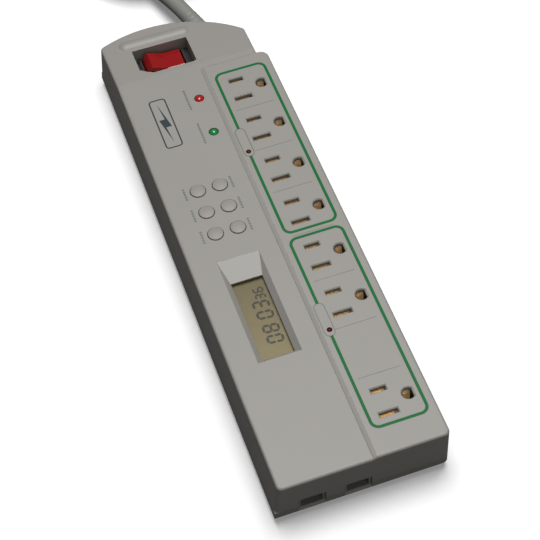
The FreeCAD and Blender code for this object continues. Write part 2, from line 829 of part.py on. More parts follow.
def build_key(x, y):
    """Round key with a gently domed face, a retaining flange and a short stem."""
    top = main_top + key_crown
    cap = rod(x, y, key_radius, key_flange_top - key_flange, top)
    dome_radius = 16.0
    dome = Part.makeSphere(dome_radius, Vector(x, y, top - dome_radius))
    cap = cap.common(dome)
    rims = [edge for edge in cap.Edges if edge.BoundBox.ZMin > main_top - 1.0 and edge.Length > 20.0]
    cap = cap.makeFillet(0.35, rims)
    flange = rod(x, y, key_radius + 1.2, key_flange_top - key_flange, key_flange_top)
    stem = rod(x, y, 1.5, key_stem_bottom, key_flange_top)
    return fuse([cap, flange, stem])


# Lamps

def lamp(x, y, radius, top, z0):
    """Domed lamp lens on a round flange."""
    dome = Part.makeSphere(radius, Vector(x, y, top - radius))
    barrel = rod(x, y, radius, z0, top - radius)
    flange = rod(x, y, radius + 0.4, z0, z0 + 1.6)
    return fuse([barrel, dome, flange])


def build_status_lamp(colour):
    """Status lamp beside the outlet bank."""
    z0 = timer_board_z + board_thickness
    return lamp(status_lamp_x, status_lamp_rows[colour], status_lamp_radius, main_top + 0.9, z0)


def build_timer_lamp(place):
    """Small lamp at the edge of the outlet bank."""
    x, y = timer_lamps[place]
    return lamp(x, y, timer_lamp_radius, case_height + 0.35, lamp_board_z + 1.2)


def build_lamp_boards():
    """Two small boards under the timer lamps."""
    return group([centred_box(x, y, 6.4, 9.0, lamp_board_z, lamp_board_z + 1.2)
                  for x, y in timer_lamps.values()])


def build_indicator_board():
    """Board under the two status lamps."""
    rows = list(status_lamp_rows.values())
    return box(status_lamp_x - 4.5, status_lamp_x + 4.5, min(rows) - 6.0, max(rows) + 6.0,
               timer_board_z, timer_board_z + board_thickness)


# Electronics

def build_varistors():
    """Three disc varistors, standing side by side on their leads."""
    z0 = power_board_z + board_thickness
    discs = []
    for offset in (0.0, 8.0, 16.0):
        x, y = -22.0, 48.0 + offset
        disc = Part.makeCylinder(6.6, 4.2, Vector(x, y, z0 + 8.6), Vector(0, 1, 0))
        rims = [edge for edge in disc.Edges if edge.Length > 40.0 and edge.BoundBox.YLength < 0.1]
        disc = disc.makeFillet(1.2, rims)
        leads = [rod(x + side * 3.5, y + 2.1, 0.4, z0, z0 + 4.5) for side in (-1, 1)]
        discs.append(fuse([disc] + leads))
    return group(discs)


def build_thermal_fuses():
    """Two thermal fuses laid beside the varistors."""
    z0 = power_board_z + board_thickness
    return group([Part.makeCylinder(1.9, 9.0, Vector(-12.0, y, z0 + 1.9), Vector(0, 1, 0))
                  for y in (48.0, 60.0)])


def rounded_block(x, y, width, length, z0, z1, radius):
    """Block with rounded upright and top edges."""
    block = centred_box(x, y, width, length, z0, z1)
    edges = [edge for edge in block.Edges if edge.BoundBox.ZMax > z0 + 0.1]
    return block.makeFillet(radius, edges)


def build_line_capacitor():
    """Box-shaped film capacitor."""
    z0 = power_board_z + board_thickness
    return rounded_block(-18.0, 80.0, 18.0, 8.5, z0, z0 + 12.0, 0.6)


def build_line_choke():
    """Ring core standing for the common-mode choke."""
    z0 = power_board_z + board_thickness
    ring = rod(-15.0, 94.5, 8.6, z0, z0 + 7.5).cut(rod(-15.0, 94.5, 4.2, z0, z0 + 7.5))
    edges = [edge for edge in ring.Edges if edge.BoundBox.ZLength < 0.1]
    return ring.makeFillet(1.0, edges)


def build_relay(y):
    """Low relay that switches one group of outlets."""
    z0 = power_board_z + board_thickness
    return rounded_block(-6.0, y, 12.5, 19.0, z0, z0 + 8.4, 0.5)


def build_transformer():
    """Small mains transformer of the timer."""
    z0 = power_board_z + board_thickness
    core = centred_box(-18.0, -70.0, 20.0, 16.0, z0, z0 + 8.6)
    winding = centred_box(-18.0, -70.0, 12.0, 20.0, z0 + 1.0, z0 + 7.6)
    return fuse([core, winding])


def build_backup_battery():
    """Round cell that keeps the clock running."""
    z0 = power_board_z + board_thickness
    cell = rod(-18.0, -44.0, 8.0, z0, z0 + 5.4)
    edges = [edge for edge in cell.Edges if edge.BoundBox.ZLength < 0.1]
    return cell.makeFillet(0.6, edges)


# Phone-line jacks


def build_jack(x):
    """Phone-line jack: an open-fronted box with a latch notch in its roof."""
    width, height = jack_cavity
    z0 = jack_z - height / 2.0
    z1 = jack_z + height / 2.0
    body = box(x - width / 2.0 - jack_wall, x + width / 2.0 + jack_wall, jack_front,
               jack_front + jack_depth + 2.0, jack_board_z + board_thickness, z1 + jack_wall)
    cavity = box(x - width / 2.0, x + width / 2.0, jack_front - 1.0, jack_front + jack_depth, z0, z1)
    return body.cut(cavity)


def build_jack_contacts():
    """Four spring wires in the back of each jack."""
    wires = []
    height = jack_cavity[1]
    for x in jack_columns.values():
        for offset in (-1.53, -0.51, 0.51, 1.53):
            y0 = jack_front + jack_depth - 3.0
            z = jack_z - height / 2.0 + 0.5
            wires.append(Part.makeCylinder(0.2, 3.0, Vector(x + offset, y0, z), Vector(0, 1, 0)))
    return group(wires)


def build_jack_board():
    """Board under both jacks."""
    columns = list(jack_columns.values())
    return box(min(columns) - 8.0, max(columns) + 8.0, jack_front + 4.0, jack_front + 24.0,
               jack_board_z, jack_board_z + board_thickness)


# Routed tubes: straight runs joined by tangent arcs


def route_edges(points, name, end_share):
    """Straight runs and arcs along a route, each arc as large as its two runs allow.

    An arc takes up to run_share of a run between two corners, and up to end_share of the first or last run.
    """
    vectors = [Vector(*point) for point in points]
    edges = []
    start = vectors[0]
    radii = []
    last_corner = len(vectors) - 2
    for index in range(1, last_corner + 1):
        before, corner, after = vectors[index - 1:index + 2]
        before_share = end_share if index == 1 else run_share
        after_share = end_share if index == last_corner else run_share
        into = (corner - before).normalize()
        out = (after - corner).normalize()
        half_turn = into.getAngle(out) / 2.0
        reach = min(before_share * (corner - before).Length, after_share * (after - corner).Length)
        radius = reach / math.tan(half_turn)
        radii.append(round(radius, 1))
        arc_start = corner - into * reach
        arc_end = corner + out * reach
        inward = (out - into).normalize()
        middle = corner + inward * (radius / math.cos(half_turn) - radius)
        edges.append(Part.makeLine(start, arc_start))
        edges.append(Part.Arc(arc_start, middle, arc_end).toShape())
        start = arc_end
    edges.append(Part.makeLine(start, vectors[-1]))
    print(name, "radii", radii)
    return edges


def routed_tube(points, diameter, name, end_share=run_share):
    """Round tube along a route; its volume is compared with its section times its length."""
    path = Part.Wire(route_edges(points, name, end_share))
    start = Vector(*points[0])
    direction = (Vector(*points[1]) - start).normalize()
    ring = Part.Wire(Part.makeCircle(diameter / 2.0, start, direction))
    tube = path.makePipeShell([ring], True, True)
    section = math.pi * diameter ** 2 / 4.0
    print(name, "length", round(path.Length, 1), "volume ratio", round(tube.Volume / section / path.Length, 4))
    return tube


# Cord, coil and plug

def build_strain_relief():
    """Tapered sleeve: a collar inside the wall, a neck through it and a tail that narrows."""
    heading = heading_vector()
    inner_end = cord_exit - heading * relief_grip
    straight = 2.0
    neck = Part.makeCylinder(relief_neck_radius, relief_grip + straight, inner_end, heading)
    collar = Part.makeCylinder(relief_neck_radius + 1.2, 3.0, inner_end, heading)
    tail = Part.makeCone(relief_neck_radius, cord_diameter / 2.0 + 0.15, relief_length - straight,
                         cord_exit + heading * straight, heading)
    return fuse([collar, neck, tail])


def coil_ring(grow):
    """Ring of the coil's outer shape, grown by a gap on every side."""
    outer = coil_mean_radius + cord_diameter + grow
    inner = coil_mean_radius - cord_diameter - grow
    low = coil_centre - Vector(0, 0, grow)
    height = 2 * cord_diameter + 2 * grow
    return Part.makeCylinder(outer, height, low).cut(Part.makeCylinder(inner, height, low))


def build_cord_coil():
    """Closed ring of the outer shape of the wound cord."""
    ring = coil_ring(0.0)
    edges = [edge for edge in ring.Edges if edge.BoundBox.ZLength < 0.1]
    return ring.makeFillet(cord_diameter / 3.0, edges)


def build_cord_tie():
    """Strap wrapped once round the coil."""
    strap = coil_ring(0.9).cut(coil_ring(0.1))
    sector = box(0.0, FAR, -5.0, 5.0, -FAR, FAR)
    sector.rotate(Vector(0, 0, 0), Vector(0, 0, 1), 85.0)
    sector.translate(Vector(coil_centre.x, coil_centre.y, 0))
    return strap.common(sector)


def plug_frame(shape):
    """Place a plug piece, drawn along +Y from the tail's end, at the end of the tail."""
    end = Vector(*tail_points[-1])
    direction = end - Vector(*tail_points[-2])
    heading = math.degrees(math.atan2(-direction.x, direction.y))
    moved = shape.copy()
    moved.rotate(Vector(0, 0, 0), Vector(0, 0, 1), heading)
    moved.translate(end)
    return moved


def build_plug_body():
    """Moulded plug body with a tapered tail."""
    width, length, height = plug_body_size
    tail = 14.0
    body = box(-width / 2.0, width / 2.0, tail, tail + length, -height / 2.0, height / 2.0)
    upright = [edge for edge in body.Edges if edge.BoundBox.YLength > length - 1.0]
    body = body.makeFillet(5.0, upright)
    rear = [edge for edge in body.Edges if edge.BoundBox.YMax < tail + 0.1]
    body = body.makeFillet(3.0, rear)
    sleeve = Part.makeCone(cord_diameter / 2.0 + 0.15, cord_diameter / 2.0 + 2.4, tail + 1.0, Vector(0, 0, 0),
                           Vector(0, 1, 0))
    return plug_frame(fuse([body, sleeve]))


def build_plug_blades():
    """Two flat blades."""
    thick, length, tall = blade_size
    start = 14.0 + plug_body_size[1]
    blades = []
    for side in (-1, 1):
        x = side * blade_spacing / 2.0
        blade = box(x - thick / 2.0, x + thick / 2.0, start, start + length, plug_blade_rise - tall / 2.0,
                    plug_blade_rise + tall / 2.0)
        tip = [edge for edge in blade.Edges
               if edge.BoundBox.YMin > start + length - 0.1 and edge.BoundBox.XLength > thick - 0.1]
        blades.append(plug_frame(blade.makeChamfer(0.8, tip)))
    return group(blades)


def build_plug_ground_pin():
    """Round ground pin."""
    start = 14.0 + plug_body_size[1]
    z = plug_blade_rise - ground_offset
    pin = Part.makeCylinder(plug_pin_radius, plug_pin_length, Vector(0, start, z), Vector(0, 1, 0))
    tip = [edge for edge in pin.Edges if edge.BoundBox.YMin > start + plug_pin_length - 0.1]
    return plug_frame(pin.makeFillet(1.2, tip))


def build_all():
    """Every sub-part by name."""
    parts = {
        "top_housing": build_top_housing(),
        "base_tray": build_base_tray(),
        "housing_screws": build_housing_screws(),
        "rubber_feet": build_rubber_feet(),
        "timer_board_screws": build_board_screws(),
        "contact_carrier": build_contact_carrier(),
        "hot_strip_rear": build_hot_strip(outlet_rows[3:]),
        "hot_strip_front": build_hot_strip(outlet_rows[:3]),
        "neutral_strip": build_neutral_strip(),
        "ground_strip": build_ground_strip(),
        "switch_frame": build_switch_frame(),
        "rocker": build_rocker(),
        "switch_terminals": build_switch_terminals(),
        "lcd_window": build_lcd_window(),
        "lcd_panel": build_lcd_panel(),
        "lcd_connectors": build_lcd_connectors(),
        "timer_board": build_timer_board(),
        "key_switches": build_tact_switches(),
        "indicator_board": build_indicator_board(),
        "lamp_boards": build_lamp_boards(),
        "power_board": board_plate(power_board, power_board_z),
        "surge_board": board_plate(surge_board, power_board_z),
        "varistors": build_varistors(),
        "thermal_fuses": build_thermal_fuses(),
        "line_capacitor": build_line_capacitor(),
        "line_choke": build_line_choke(),
        "relay_rear": build_relay(18.0),
        "relay_front": build_relay(-8.0),
        "timer_transformer": build_transformer(),
        "backup_battery": build_backup_battery(),
        "phone_jack_in": build_jack(jack_columns["in"]),
        "phone_jack_out": build_jack(jack_columns["out"]),
        "jack_contacts": build_jack_contacts(),
        "jack_board": build_jack_board(),
        "strain_relief": build_strain_relief(),
        "cord": routed_tube(cord_points, cord_diameter, "cord"),
        "cord_coil": build_cord_coil(),
        "cord_tail": routed_tube(tail_points, cord_diameter, "cord tail", 0.9),
        "cord_tie": build_cord_tie(),
        "plug_body": build_plug_body(),
        "plug_blades": build_plug_blades(),
        "plug_ground_pin": build_plug_ground_pin(),
    }
    for name, points in wire_routes.items():
        parts[name] = routed_tube(points, wire_diameter, name)
    for name, place in key_places().items():
        parts[name] = build_key(place[0], place[1])
    for colour in status_lamp_rows:
        parts["status_lamp_" + colour] = build_status_lamp(colour)
    for place in timer_lamps:
        parts["timer_lamp_" + place] = build_timer_lamp(place)
    return parts


for part_name, part_shape in build_all().items():
    print(part_name, "valid", part_shape.isValid(), "solids", len(part_shape.Solids),
          "volume", round(part_shape.Volume, 1))
    save(part_name, part_shape)
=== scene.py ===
"""Looks of a seven-outlet surge suppressor strip with a digital timer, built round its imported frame."""
from __future__ import annotations

import json
import logging
import math
from dataclasses import dataclass, field
from enum import Enum
from typing import ClassVar, Iterable, Sequence

import bpy
import numpy as np
from mathutils import Matrix, Vector

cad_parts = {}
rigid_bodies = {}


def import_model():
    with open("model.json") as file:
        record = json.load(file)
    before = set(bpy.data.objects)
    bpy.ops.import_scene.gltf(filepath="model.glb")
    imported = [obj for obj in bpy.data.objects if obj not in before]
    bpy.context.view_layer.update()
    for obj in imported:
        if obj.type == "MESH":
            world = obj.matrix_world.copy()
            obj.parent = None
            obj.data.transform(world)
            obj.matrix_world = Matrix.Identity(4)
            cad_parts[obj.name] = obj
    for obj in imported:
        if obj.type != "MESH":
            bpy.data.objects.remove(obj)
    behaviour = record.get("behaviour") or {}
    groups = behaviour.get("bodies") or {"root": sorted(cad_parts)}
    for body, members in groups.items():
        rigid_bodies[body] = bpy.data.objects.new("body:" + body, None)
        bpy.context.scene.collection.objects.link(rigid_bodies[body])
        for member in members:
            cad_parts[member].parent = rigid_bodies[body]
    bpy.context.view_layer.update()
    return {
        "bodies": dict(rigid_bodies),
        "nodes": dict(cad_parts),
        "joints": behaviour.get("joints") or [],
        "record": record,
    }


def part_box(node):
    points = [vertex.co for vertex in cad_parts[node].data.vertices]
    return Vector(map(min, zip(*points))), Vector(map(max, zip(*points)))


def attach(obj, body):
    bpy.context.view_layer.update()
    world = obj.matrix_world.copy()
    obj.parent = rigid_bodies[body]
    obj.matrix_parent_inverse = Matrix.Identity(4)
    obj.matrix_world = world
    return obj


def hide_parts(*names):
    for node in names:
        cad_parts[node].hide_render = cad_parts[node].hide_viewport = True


log = logging.getLogger("surge_strip")
MM = 0.001
Colour = tuple[float, float, float]
Point = tuple[float, float, float]
PlanPoint = tuple[float, float]
Shape = tuple[np.ndarray, list[list[int]]]

# Sizes that more than one piece uses
COIL_CENTRE: PlanPoint = (39.0 * MM, 235.5 * MM)
SLEEVE_TIP_RADIUS = 4.65 * MM
SLEEVE_RIB_DEPTH = 0.35 * MM
# The cord's route where it isn't coiled, in millimetres
CORD_LEAD: tuple[Point, ...] = ((14.62, 155.52, 11.5), (11.0, 169.04, 11.5), (2.5, 194.3, 7.6),
                                (-6.7, 216.5, 5.5))
CORD_TAIL: tuple[Point, ...] = ((32.1, 186.5, 14.5), (15.5, 188.8, 18.6), (-2.3, 191.1, 18.4),
                                (-18.7, 202.3, 14.6), (-28.0, 219.8, 12.6), (-28.0, 230.5, 12.6))


class Body(str, Enum):
    """Bodies of the strip that new pieces ride on."""

    CASE = "case"


class Kind(Enum):
    """How a finish takes the light."""

    PLASTIC = "plastic"
    METAL = "metal"
    CLEAR = "clear"
    LAMP = "lamp"
    FABRIC = "fabric"
    INK = "ink"
    DISPLAY = "display"


# Shader groups shared by the finishes


class ShaderGroups:
    """Shared effects, each built once as a node group with named sockets."""

    def __init__(self) -> None:
        """Build every group."""
        self.grain = self.moulded_grain()
        self.brushed = self.brushed_metal()
        self.weave = self.woven_strap()
        self.fade = self.display_fade()

    @staticmethod
    def start(name: str, inputs: dict[str, float | Colour], outputs: dict[str, str]) -> bpy.types.NodeTree:
        """Make an empty group with its sockets.

        Args:
            name: the group's name.
            inputs: socket names and their first values; a colour value makes a colour socket.
            outputs: socket names and their socket types.

        Returns:
            The new node tree, with its input and output nodes placed.
        """
        tree = bpy.data.node_groups.new(name, "ShaderNodeTree")
        for label, value in inputs.items():
            is_colour = isinstance(value, tuple)
            kind = "NodeSocketColor" if is_colour else "NodeSocketFloat"
            socket = tree.interface.new_socket(name=label, in_out="INPUT", socket_type=kind)
            socket.default_value = (*value, 1.0) if is_colour else value
        for label, kind in outputs.items():
            tree.interface.new_socket(name=label, in_out="OUTPUT", socket_type=kind)
        tree.nodes.new("NodeGroupInput").name = "in"
        tree.nodes.new("NodeGroupOutput").name = "out"
        return tree

    @staticmethod
    def noise(tree: bpy.types.NodeTree, scale: float | bpy.types.NodeSocket, detail: float,
              stretch: Point = (1.0, 1.0, 1.0)) -> bpy.types.NodeSocket:
        """Add a noise on Object coordinates, stretched by a Mapping node.

        Args:
            tree: the group that gets the nodes.
            scale: the noise's scale, as a number or a socket.
            detail: how many finer layers are added.
            stretch: scale of the coordinates along each axis.

        Returns:
            The noise's value socket.
        """
        coords = tree.nodes.new("ShaderNodeTexCoord")
        mapping = tree.nodes.new("ShaderNodeMapping")
        mapping.inputs["Scale"].default_value = stretch
        texture = tree.nodes.new("ShaderNodeTexNoise")
        texture.inputs["Detail"].default_value = detail
        tree.links.new(coords.outputs["Object"], mapping.inputs["Vector"])
        tree.links.new(mapping.outputs["Vector"], texture.inputs["Vector"])
        if isinstance(scale, float):
            texture.inputs["Scale"].default_value = scale
        else:
            tree.links.new(scale, texture.inputs["Scale"])
        return texture.outputs["Fac"]

    @staticmethod
    def arithmetic(tree: bpy.types.NodeTree, operation: str, first: bpy.types.NodeSocket | float,
                   second: bpy.types.NodeSocket | float, third: float | bpy.types.NodeSocket = 0.0
                   ) -> bpy.types.NodeSocket:
        """Add a Math node.

        Args:
            tree: the tree that gets the node.
            operation: the node's operation, in capitals.
            first: first operand, a socket or a number.
            second: second operand.
            third: third operand, which only some operations use.

        Returns:
            The node's value socket.
        """
        node = tree.nodes.new("ShaderNodeMath")
        node.operation = operation
        for slot, value in enumerate((first, second, third)):
            if isinstance(value, (int, float)):
                node.inputs[slot].default_value = value
            else:
                tree.links.new(value, node.inputs[slot])
        return node.outputs[0]

    @staticmethod
    def shade(tree: bpy.types.NodeTree, colour: bpy.types.NodeSocket,
              factor: bpy.types.NodeSocket) -> bpy.types.NodeSocket:
        """Multiply a colour by a grey value.

        Args:
            tree: the tree that gets the nodes.
            colour: the colour's socket.
            factor: the grey value's socket.

        Returns:
            The darker or lighter colour's socket.
        """
        combine = tree.nodes.new("ShaderNodeCombineColor")
        mix = tree.nodes.new("ShaderNodeMix")
        mix.data_type = "RGBA"
        mix.blend_type = "MULTIPLY"
        mix.inputs["Factor"].default_value = 1.0
        for channel in ("Red", "Green", "Blue"):
            tree.links.new(factor, combine.inputs[channel])
        tree.links.new(colour, mix.inputs["A"])
        tree.links.new(combine.outputs["Color"], mix.inputs["B"])
        return mix.outputs["Result"]

    def moulded_grain(self) -> bpy.types.NodeTree:
        """Spark-eroded mould grain with faint flow clouds and handling shine.

        Height is fine noise; colour is darkened and roughness varied by a slow noise.
        """
        tree = self.start(
            "moulded grain",
            {"Colour": (0.5, 0.5, 0.5), "Grain Scale": 2500.0, "Clouds": 0.05, "Roughness": 0.5,
             "Shine": 0.08},
            {"Colour": "NodeSocketColor", "Roughness": "NodeSocketFloat", "Height": "NodeSocketFloat"},
        )
        sockets = tree.nodes["in"].outputs
        out = tree.nodes["out"].inputs
        fine = self.noise(tree, sockets["Grain Scale"], 2.0)
        slow = self.noise(tree, 28.0, 3.0)
        speck = self.noise(tree, 900.0, 1.0)
        centred = self.arithmetic(tree, "SUBTRACT", slow, 0.5)
        specks = self.arithmetic(tree, "SUBTRACT", speck, 0.5)
        specked = self.arithmetic(tree, "MULTIPLY_ADD", specks, 0.5, centred)
        factor = self.arithmetic(tree, "MULTIPLY_ADD", specked, sockets["Clouds"], 1.0)
        tree.links.new(self.shade(tree, sockets["Colour"], factor), out["Colour"])
        rough = self.arithmetic(tree, "MULTIPLY_ADD", centred, sockets["Shine"], sockets["Roughness"])
        tree.links.new(rough, out["Roughness"])
        tree.links.new(fine, out["Height"])
        return tree

    def display_fade(self) -> bpy.types.NodeTree:
        """Display backing that darkens evenly from its front end to its rear end along Y."""
        tree = self.start(
            "display fade",
            {"Colour": (0.3, 0.25, 0.1), "Front Y": -0.078, "Rear Y": -0.032, "Rear Share": 0.6,
             "Roughness": 0.35},
            {"Colour": "NodeSocketColor", "Roughness": "NodeSocketFloat", "Height": "NodeSocketFloat"},
        )
        sockets = tree.nodes["in"].outputs
        out = tree.nodes["out"].inputs
        coords = tree.nodes.new("ShaderNodeTexCoord")
        split = tree.nodes.new("ShaderNodeSeparateXYZ")
        ramp = tree.nodes.new("ShaderNodeMapRange")
        tree.links.new(coords.outputs["Object"], split.inputs["Vector"])
        tree.links.new(split.outputs["Y"], ramp.inputs["Value"])
        tree.links.new(sockets["Front Y"], ramp.inputs["From Min"])
        tree.links.new(sockets["Rear Y"], ramp.inputs["From Max"])
        ramp.inputs["To Min"].default_value = 1.0
        tree.links.new(sockets["Rear Share"], ramp.inputs["To Max"])
        cells = self.noise(tree, 350.0, 2.0)
        factor = self.arithmetic(tree, "MULTIPLY", ramp.outputs["Result"],
                           self.arithmetic(tree, "MULTIPLY_ADD", cells, 0.16, 0.92))
        tree.links.new(self.shade(tree, sockets["Colour"], factor), out["Colour"])
        rough = self.arithmetic(tree, "MULTIPLY_ADD", cells, 0.1, sockets["Roughness"])
        tree.links.new(rough, out["Roughness"])
        tree.links.new(cells, out["Height"])
        return tree

    def brushed_metal(self) -> bpy.types.NodeTree:
        """Drawn or rolled metal: long scratches along Y, and dull patches."""
        tree = self.start(
            "rolled metal",
            {"Colour": (0.7, 0.6, 0.4), "Roughness": 0.3, "Tarnish": 0.2},
            {"Colour": "NodeSocketColor", "Roughness": "NodeSocketFloat", "Height": "NodeSocketFloat"},
        )
        sockets = tree.nodes["in"].outputs
        out = tree.nodes["out"].inputs
        lines = self.noise(tree, 900.0, 2.0, (1.0, 0.05, 1.0))
        patches = self.noise(tree, 160.0, 3.0)
        dulling = self.arithmetic(tree, "MULTIPLY", patches, sockets["Tarnish"])
        factor = self.arithmetic(tree, "SUBTRACT", 1.0, dulling)
        tree.links.new(self.shade(tree, sockets["Colour"], factor), out["Colour"])
        rough = self.arithmetic(tree, "ADD", sockets["Roughness"], dulling)
        tree.links.new(rough, out["Roughness"])
        tree.links.new(lines, out["Height"])
        return tree

    def woven_strap(self) -> bpy.types.NodeTree:
        """Hook-and-loop fabric: a fine two-way rib with fuzz."""
        tree = self.start(
            "woven strap",
            {"Colour": (0.03, 0.03, 0.03), "Rib Scale": 1600.0, "Roughness": 0.9},
            {"Colour": "NodeSocketColor", "Roughness": "NodeSocketFloat", "Height": "NodeSocketFloat"},
        )
        sockets = tree.nodes["in"].outputs
        out = tree.nodes["out"].inputs
        warp = self.noise(tree, sockets["Rib Scale"], 1.0, (1.0, 0.2, 1.0))
        weft = self.noise(tree, sockets["Rib Scale"], 1.0, (0.2, 1.0, 1.0))
        height = self.arithmetic(tree, "MAXIMUM", warp, weft)
        factor = self.arithmetic(tree, "MULTIPLY_ADD", height, 0.7, 0.6)
        tree.links.new(self.shade(tree, sockets["Colour"], factor), out["Colour"])
        rough = self.arithmetic(tree, "MULTIPLY_ADD", height, 0.1, sockets["Roughness"])
        tree.links.new(rough, out["Roughness"])
        tree.links.new(height, out["Height"])
        return tree


@dataclass(frozen=True)
class Finish:
    """One finish of the strip, turned into a material by the workshop."""

    label: str
    colour: Colour
    kind: Kind = Kind.PLASTIC
    roughness: float = 0.5
    specular: float = 0.5
    grain_scale: float = 2500.0
    grain_depth: float = 0.12
    clouds: float = 0.06
    coat: float = 0.0
    glow: float = 0.0
    alpha: float = 1.0

    def build(self, groups: ShaderGroups) -> bpy.types.Material:
        """Make the material.

        Args:
            groups: the shared shader groups.

        Returns:
            A node material that reads Object coordinates only.
        """
        material = bpy.data.materials.new(self.label)
        material.use_nodes = True
        tree = material.node_tree
        shader = tree.nodes["Principled BSDF"]
        shader.inputs["Specular IOR Level"].default_value = self.specular
        shader.inputs["Coat Weight"].default_value = self.coat
        shader.inputs["Alpha"].default_value = self.alpha
        effect = tree.nodes.new("ShaderNodeGroup")
        if self.kind is Kind.METAL:
            effect.node_tree = groups.brushed
            shader.inputs["Metallic"].default_value = 1.0
        elif self.kind is Kind.FABRIC:
            effect.node_tree = groups.weave
        elif self.kind is Kind.DISPLAY:
            effect.node_tree = groups.fade
        else:
            effect.node_tree = groups.grain
            effect.inputs["Grain Scale"].default_value = self.grain_scale
            effect.inputs["Clouds"].default_value = self.clouds
        effect.inputs["Colour"].default_value = (*self.colour, 1.0)
        effect.inputs["Roughness"].default_value = self.roughness
        bump = tree.nodes.new("ShaderNodeBump")
        bump.inputs["Strength"].default_value = self.grain_depth
        bump.inputs["Distance"].default_value = 0.0001
        tree.links.new(effect.outputs["Colour"], shader.inputs["Base Color"])
        tree.links.new(effect.outputs["Roughness"], shader.inputs["Roughness"])
        tree.links.new(effect.outputs["Height"], bump.inputs["Height"])
        tree.links.new(bump.outputs["Normal"], shader.inputs["Normal"])
        if self.glow > 0.0:
            shader.inputs["Emission Color"].default_value = (*self.colour, 1.0)
            shader.inputs["Emission Strength"].default_value = self.glow
        return material


CASE_GREY = Finish("case grey", (0.293, 0.281, 0.257), roughness=0.45, clouds=0.05)
TRAY_GREY = Finish("tray grey", (0.25, 0.24, 0.22), roughness=0.5, clouds=0.05)
KEY_GREY = Finish("key grey", (0.285, 0.27, 0.248), roughness=0.5, grain_depth=0.05)
CORD_GREY = Finish("cord grey", (0.245, 0.25, 0.225), roughness=0.5, grain_scale=700.0, grain_depth=0.1)
BLACK_PLASTIC = Finish("black plastic", (0.012, 0.012, 0.012), roughness=0.45)
ROCKER_RED = Finish("rocker red", (0.27, 0.003, 0.004), roughness=0.14, specular=0.6, grain_depth=0.0,
                    coat=0.5, glow=0.06)
LAMP_RED = Finish("lamp red", (0.40, 0.003, 0.004), Kind.LAMP, 0.12, 0.6, grain_depth=0.0, coat=0.6,
                  glow=0.12)
LAMP_GREEN = Finish("lamp green", (0.005, 0.20, 0.05), Kind.LAMP, 0.12, 0.6, grain_depth=0.0, coat=0.6,
                    glow=0.12)
LAMP_DARK = Finish("lamp dark red", (0.08, 0.001, 0.003), Kind.LAMP, 0.45, 0.3, grain_depth=0.0)
# Contact brass in the outlet slots: painted light, with its colour lifted and a faint glow standing in for
# the light that does not reach into the slots
CONTACT_BRASS_PAINTED_GLOW = Finish("contact brass with painted glow", (0.95, 0.72, 0.42), Kind.METAL, 0.42, grain_depth=0.15, glow=0.07)
NICKEL = Finish("nickel plate", (0.66, 0.62, 0.55), Kind.METAL, 0.2, grain_depth=0.1)
STEEL = Finish("zinc plate", (0.55, 0.55, 0.56), Kind.METAL, 0.32, grain_depth=0.15)
RUBBER = Finish("rubber", (0.015, 0.015, 0.015), roughness=0.8, grain_depth=0.3)
WINDOW = Finish("clear window", (0.20, 0.19, 0.15), Kind.CLEAR, 0.05, 0.4, grain_depth=0.0, clouds=0.0,
                alpha=0.07)
LCD_OLIVE = Finish("display olive", (0.27, 0.215, 0.085), Kind.DISPLAY, 0.35, grain_depth=0.03)
BOARD_GREEN = Finish("solder resist", (0.01, 0.09, 0.03), roughness=0.35, coat=0.3, clouds=0.2)
VARISTOR_BLUE = Finish("varistor blue", (0.01, 0.05, 0.25), roughness=0.25, coat=0.5)
RELAY_BLUE = Finish("relay blue", (0.02, 0.07, 0.30), roughness=0.35)
FUSE_WHITE = Finish("fuse white", (0.70, 0.70, 0.66), roughness=0.3)
CAPACITOR_YELLOW = Finish("capacitor yellow", (0.60, 0.42, 0.03), roughness=0.35)
FERRITE = Finish("ferrite", (0.03, 0.03, 0.032), roughness=0.6, grain_depth=0.25)
WIRE_BLACK = Finish("wire black", (0.01, 0.01, 0.01), roughness=0.4)
WIRE_WHITE = Finish("wire white", (0.70, 0.70, 0.70), roughness=0.4)
WIRE_GREEN = Finish("wire green", (0.01, 0.20, 0.03), roughness=0.4)
STRAP_BLACK = Finish("strap black", (0.02, 0.02, 0.022), Kind.FABRIC, 0.85, grain_depth=0.5)
INK_GREEN = Finish("green print", (0.004, 0.135, 0.035), Kind.INK, 0.5, 0.2, grain_depth=0.02, clouds=0.1)
INK_GREY = Finish("grey print", (0.14, 0.16, 0.14), Kind.INK, 0.4, grain_depth=0.02, clouds=0.1)
INK_DARK = Finish("dark print", (0.012, 0.028, 0.036), Kind.INK, 0.4, grain_depth=0.02, clouds=0.1)
LCD_INK = Finish("display segments", (0.010, 0.010, 0.004), Kind.INK, 0.35, grain_depth=0.0, clouds=0.1)

SLOT_FINISHES: dict[str, Finish] = {
    "case_grey": CASE_GREY,
    "tray_grey": TRAY_GREY,
    "key_grey": KEY_GREY,
    "steel": STEEL,
    "nickel": NICKEL,
    "rubber": RUBBER,
    "black_plastic": BLACK_PLASTIC,
    "brass": CONTACT_BRASS_PAINTED_GLOW,
    "rocker_red": ROCKER_RED,
    "clear_window": WINDOW,
    "lcd_glass": LCD_OLIVE,
    "circuit_board": BOARD_GREEN,
    "varistor_blue": VARISTOR_BLUE,
    "relay_blue": RELAY_BLUE,
    "fuse_white": FUSE_WHITE,
    "capacitor_yellow": CAPACITOR_YELLOW,
    "ferrite": FERRITE,
    "cord_grey": CORD_GREY,
    "wire_black": WIRE_BLACK,
    "wire_white": WIRE_WHITE,
    "wire_green": WIRE_GREEN,
    "lamp_red": LAMP_RED,
    "lamp_green": LAMP_GREEN,
    "lamp_dark_red": LAMP_DARK,
}


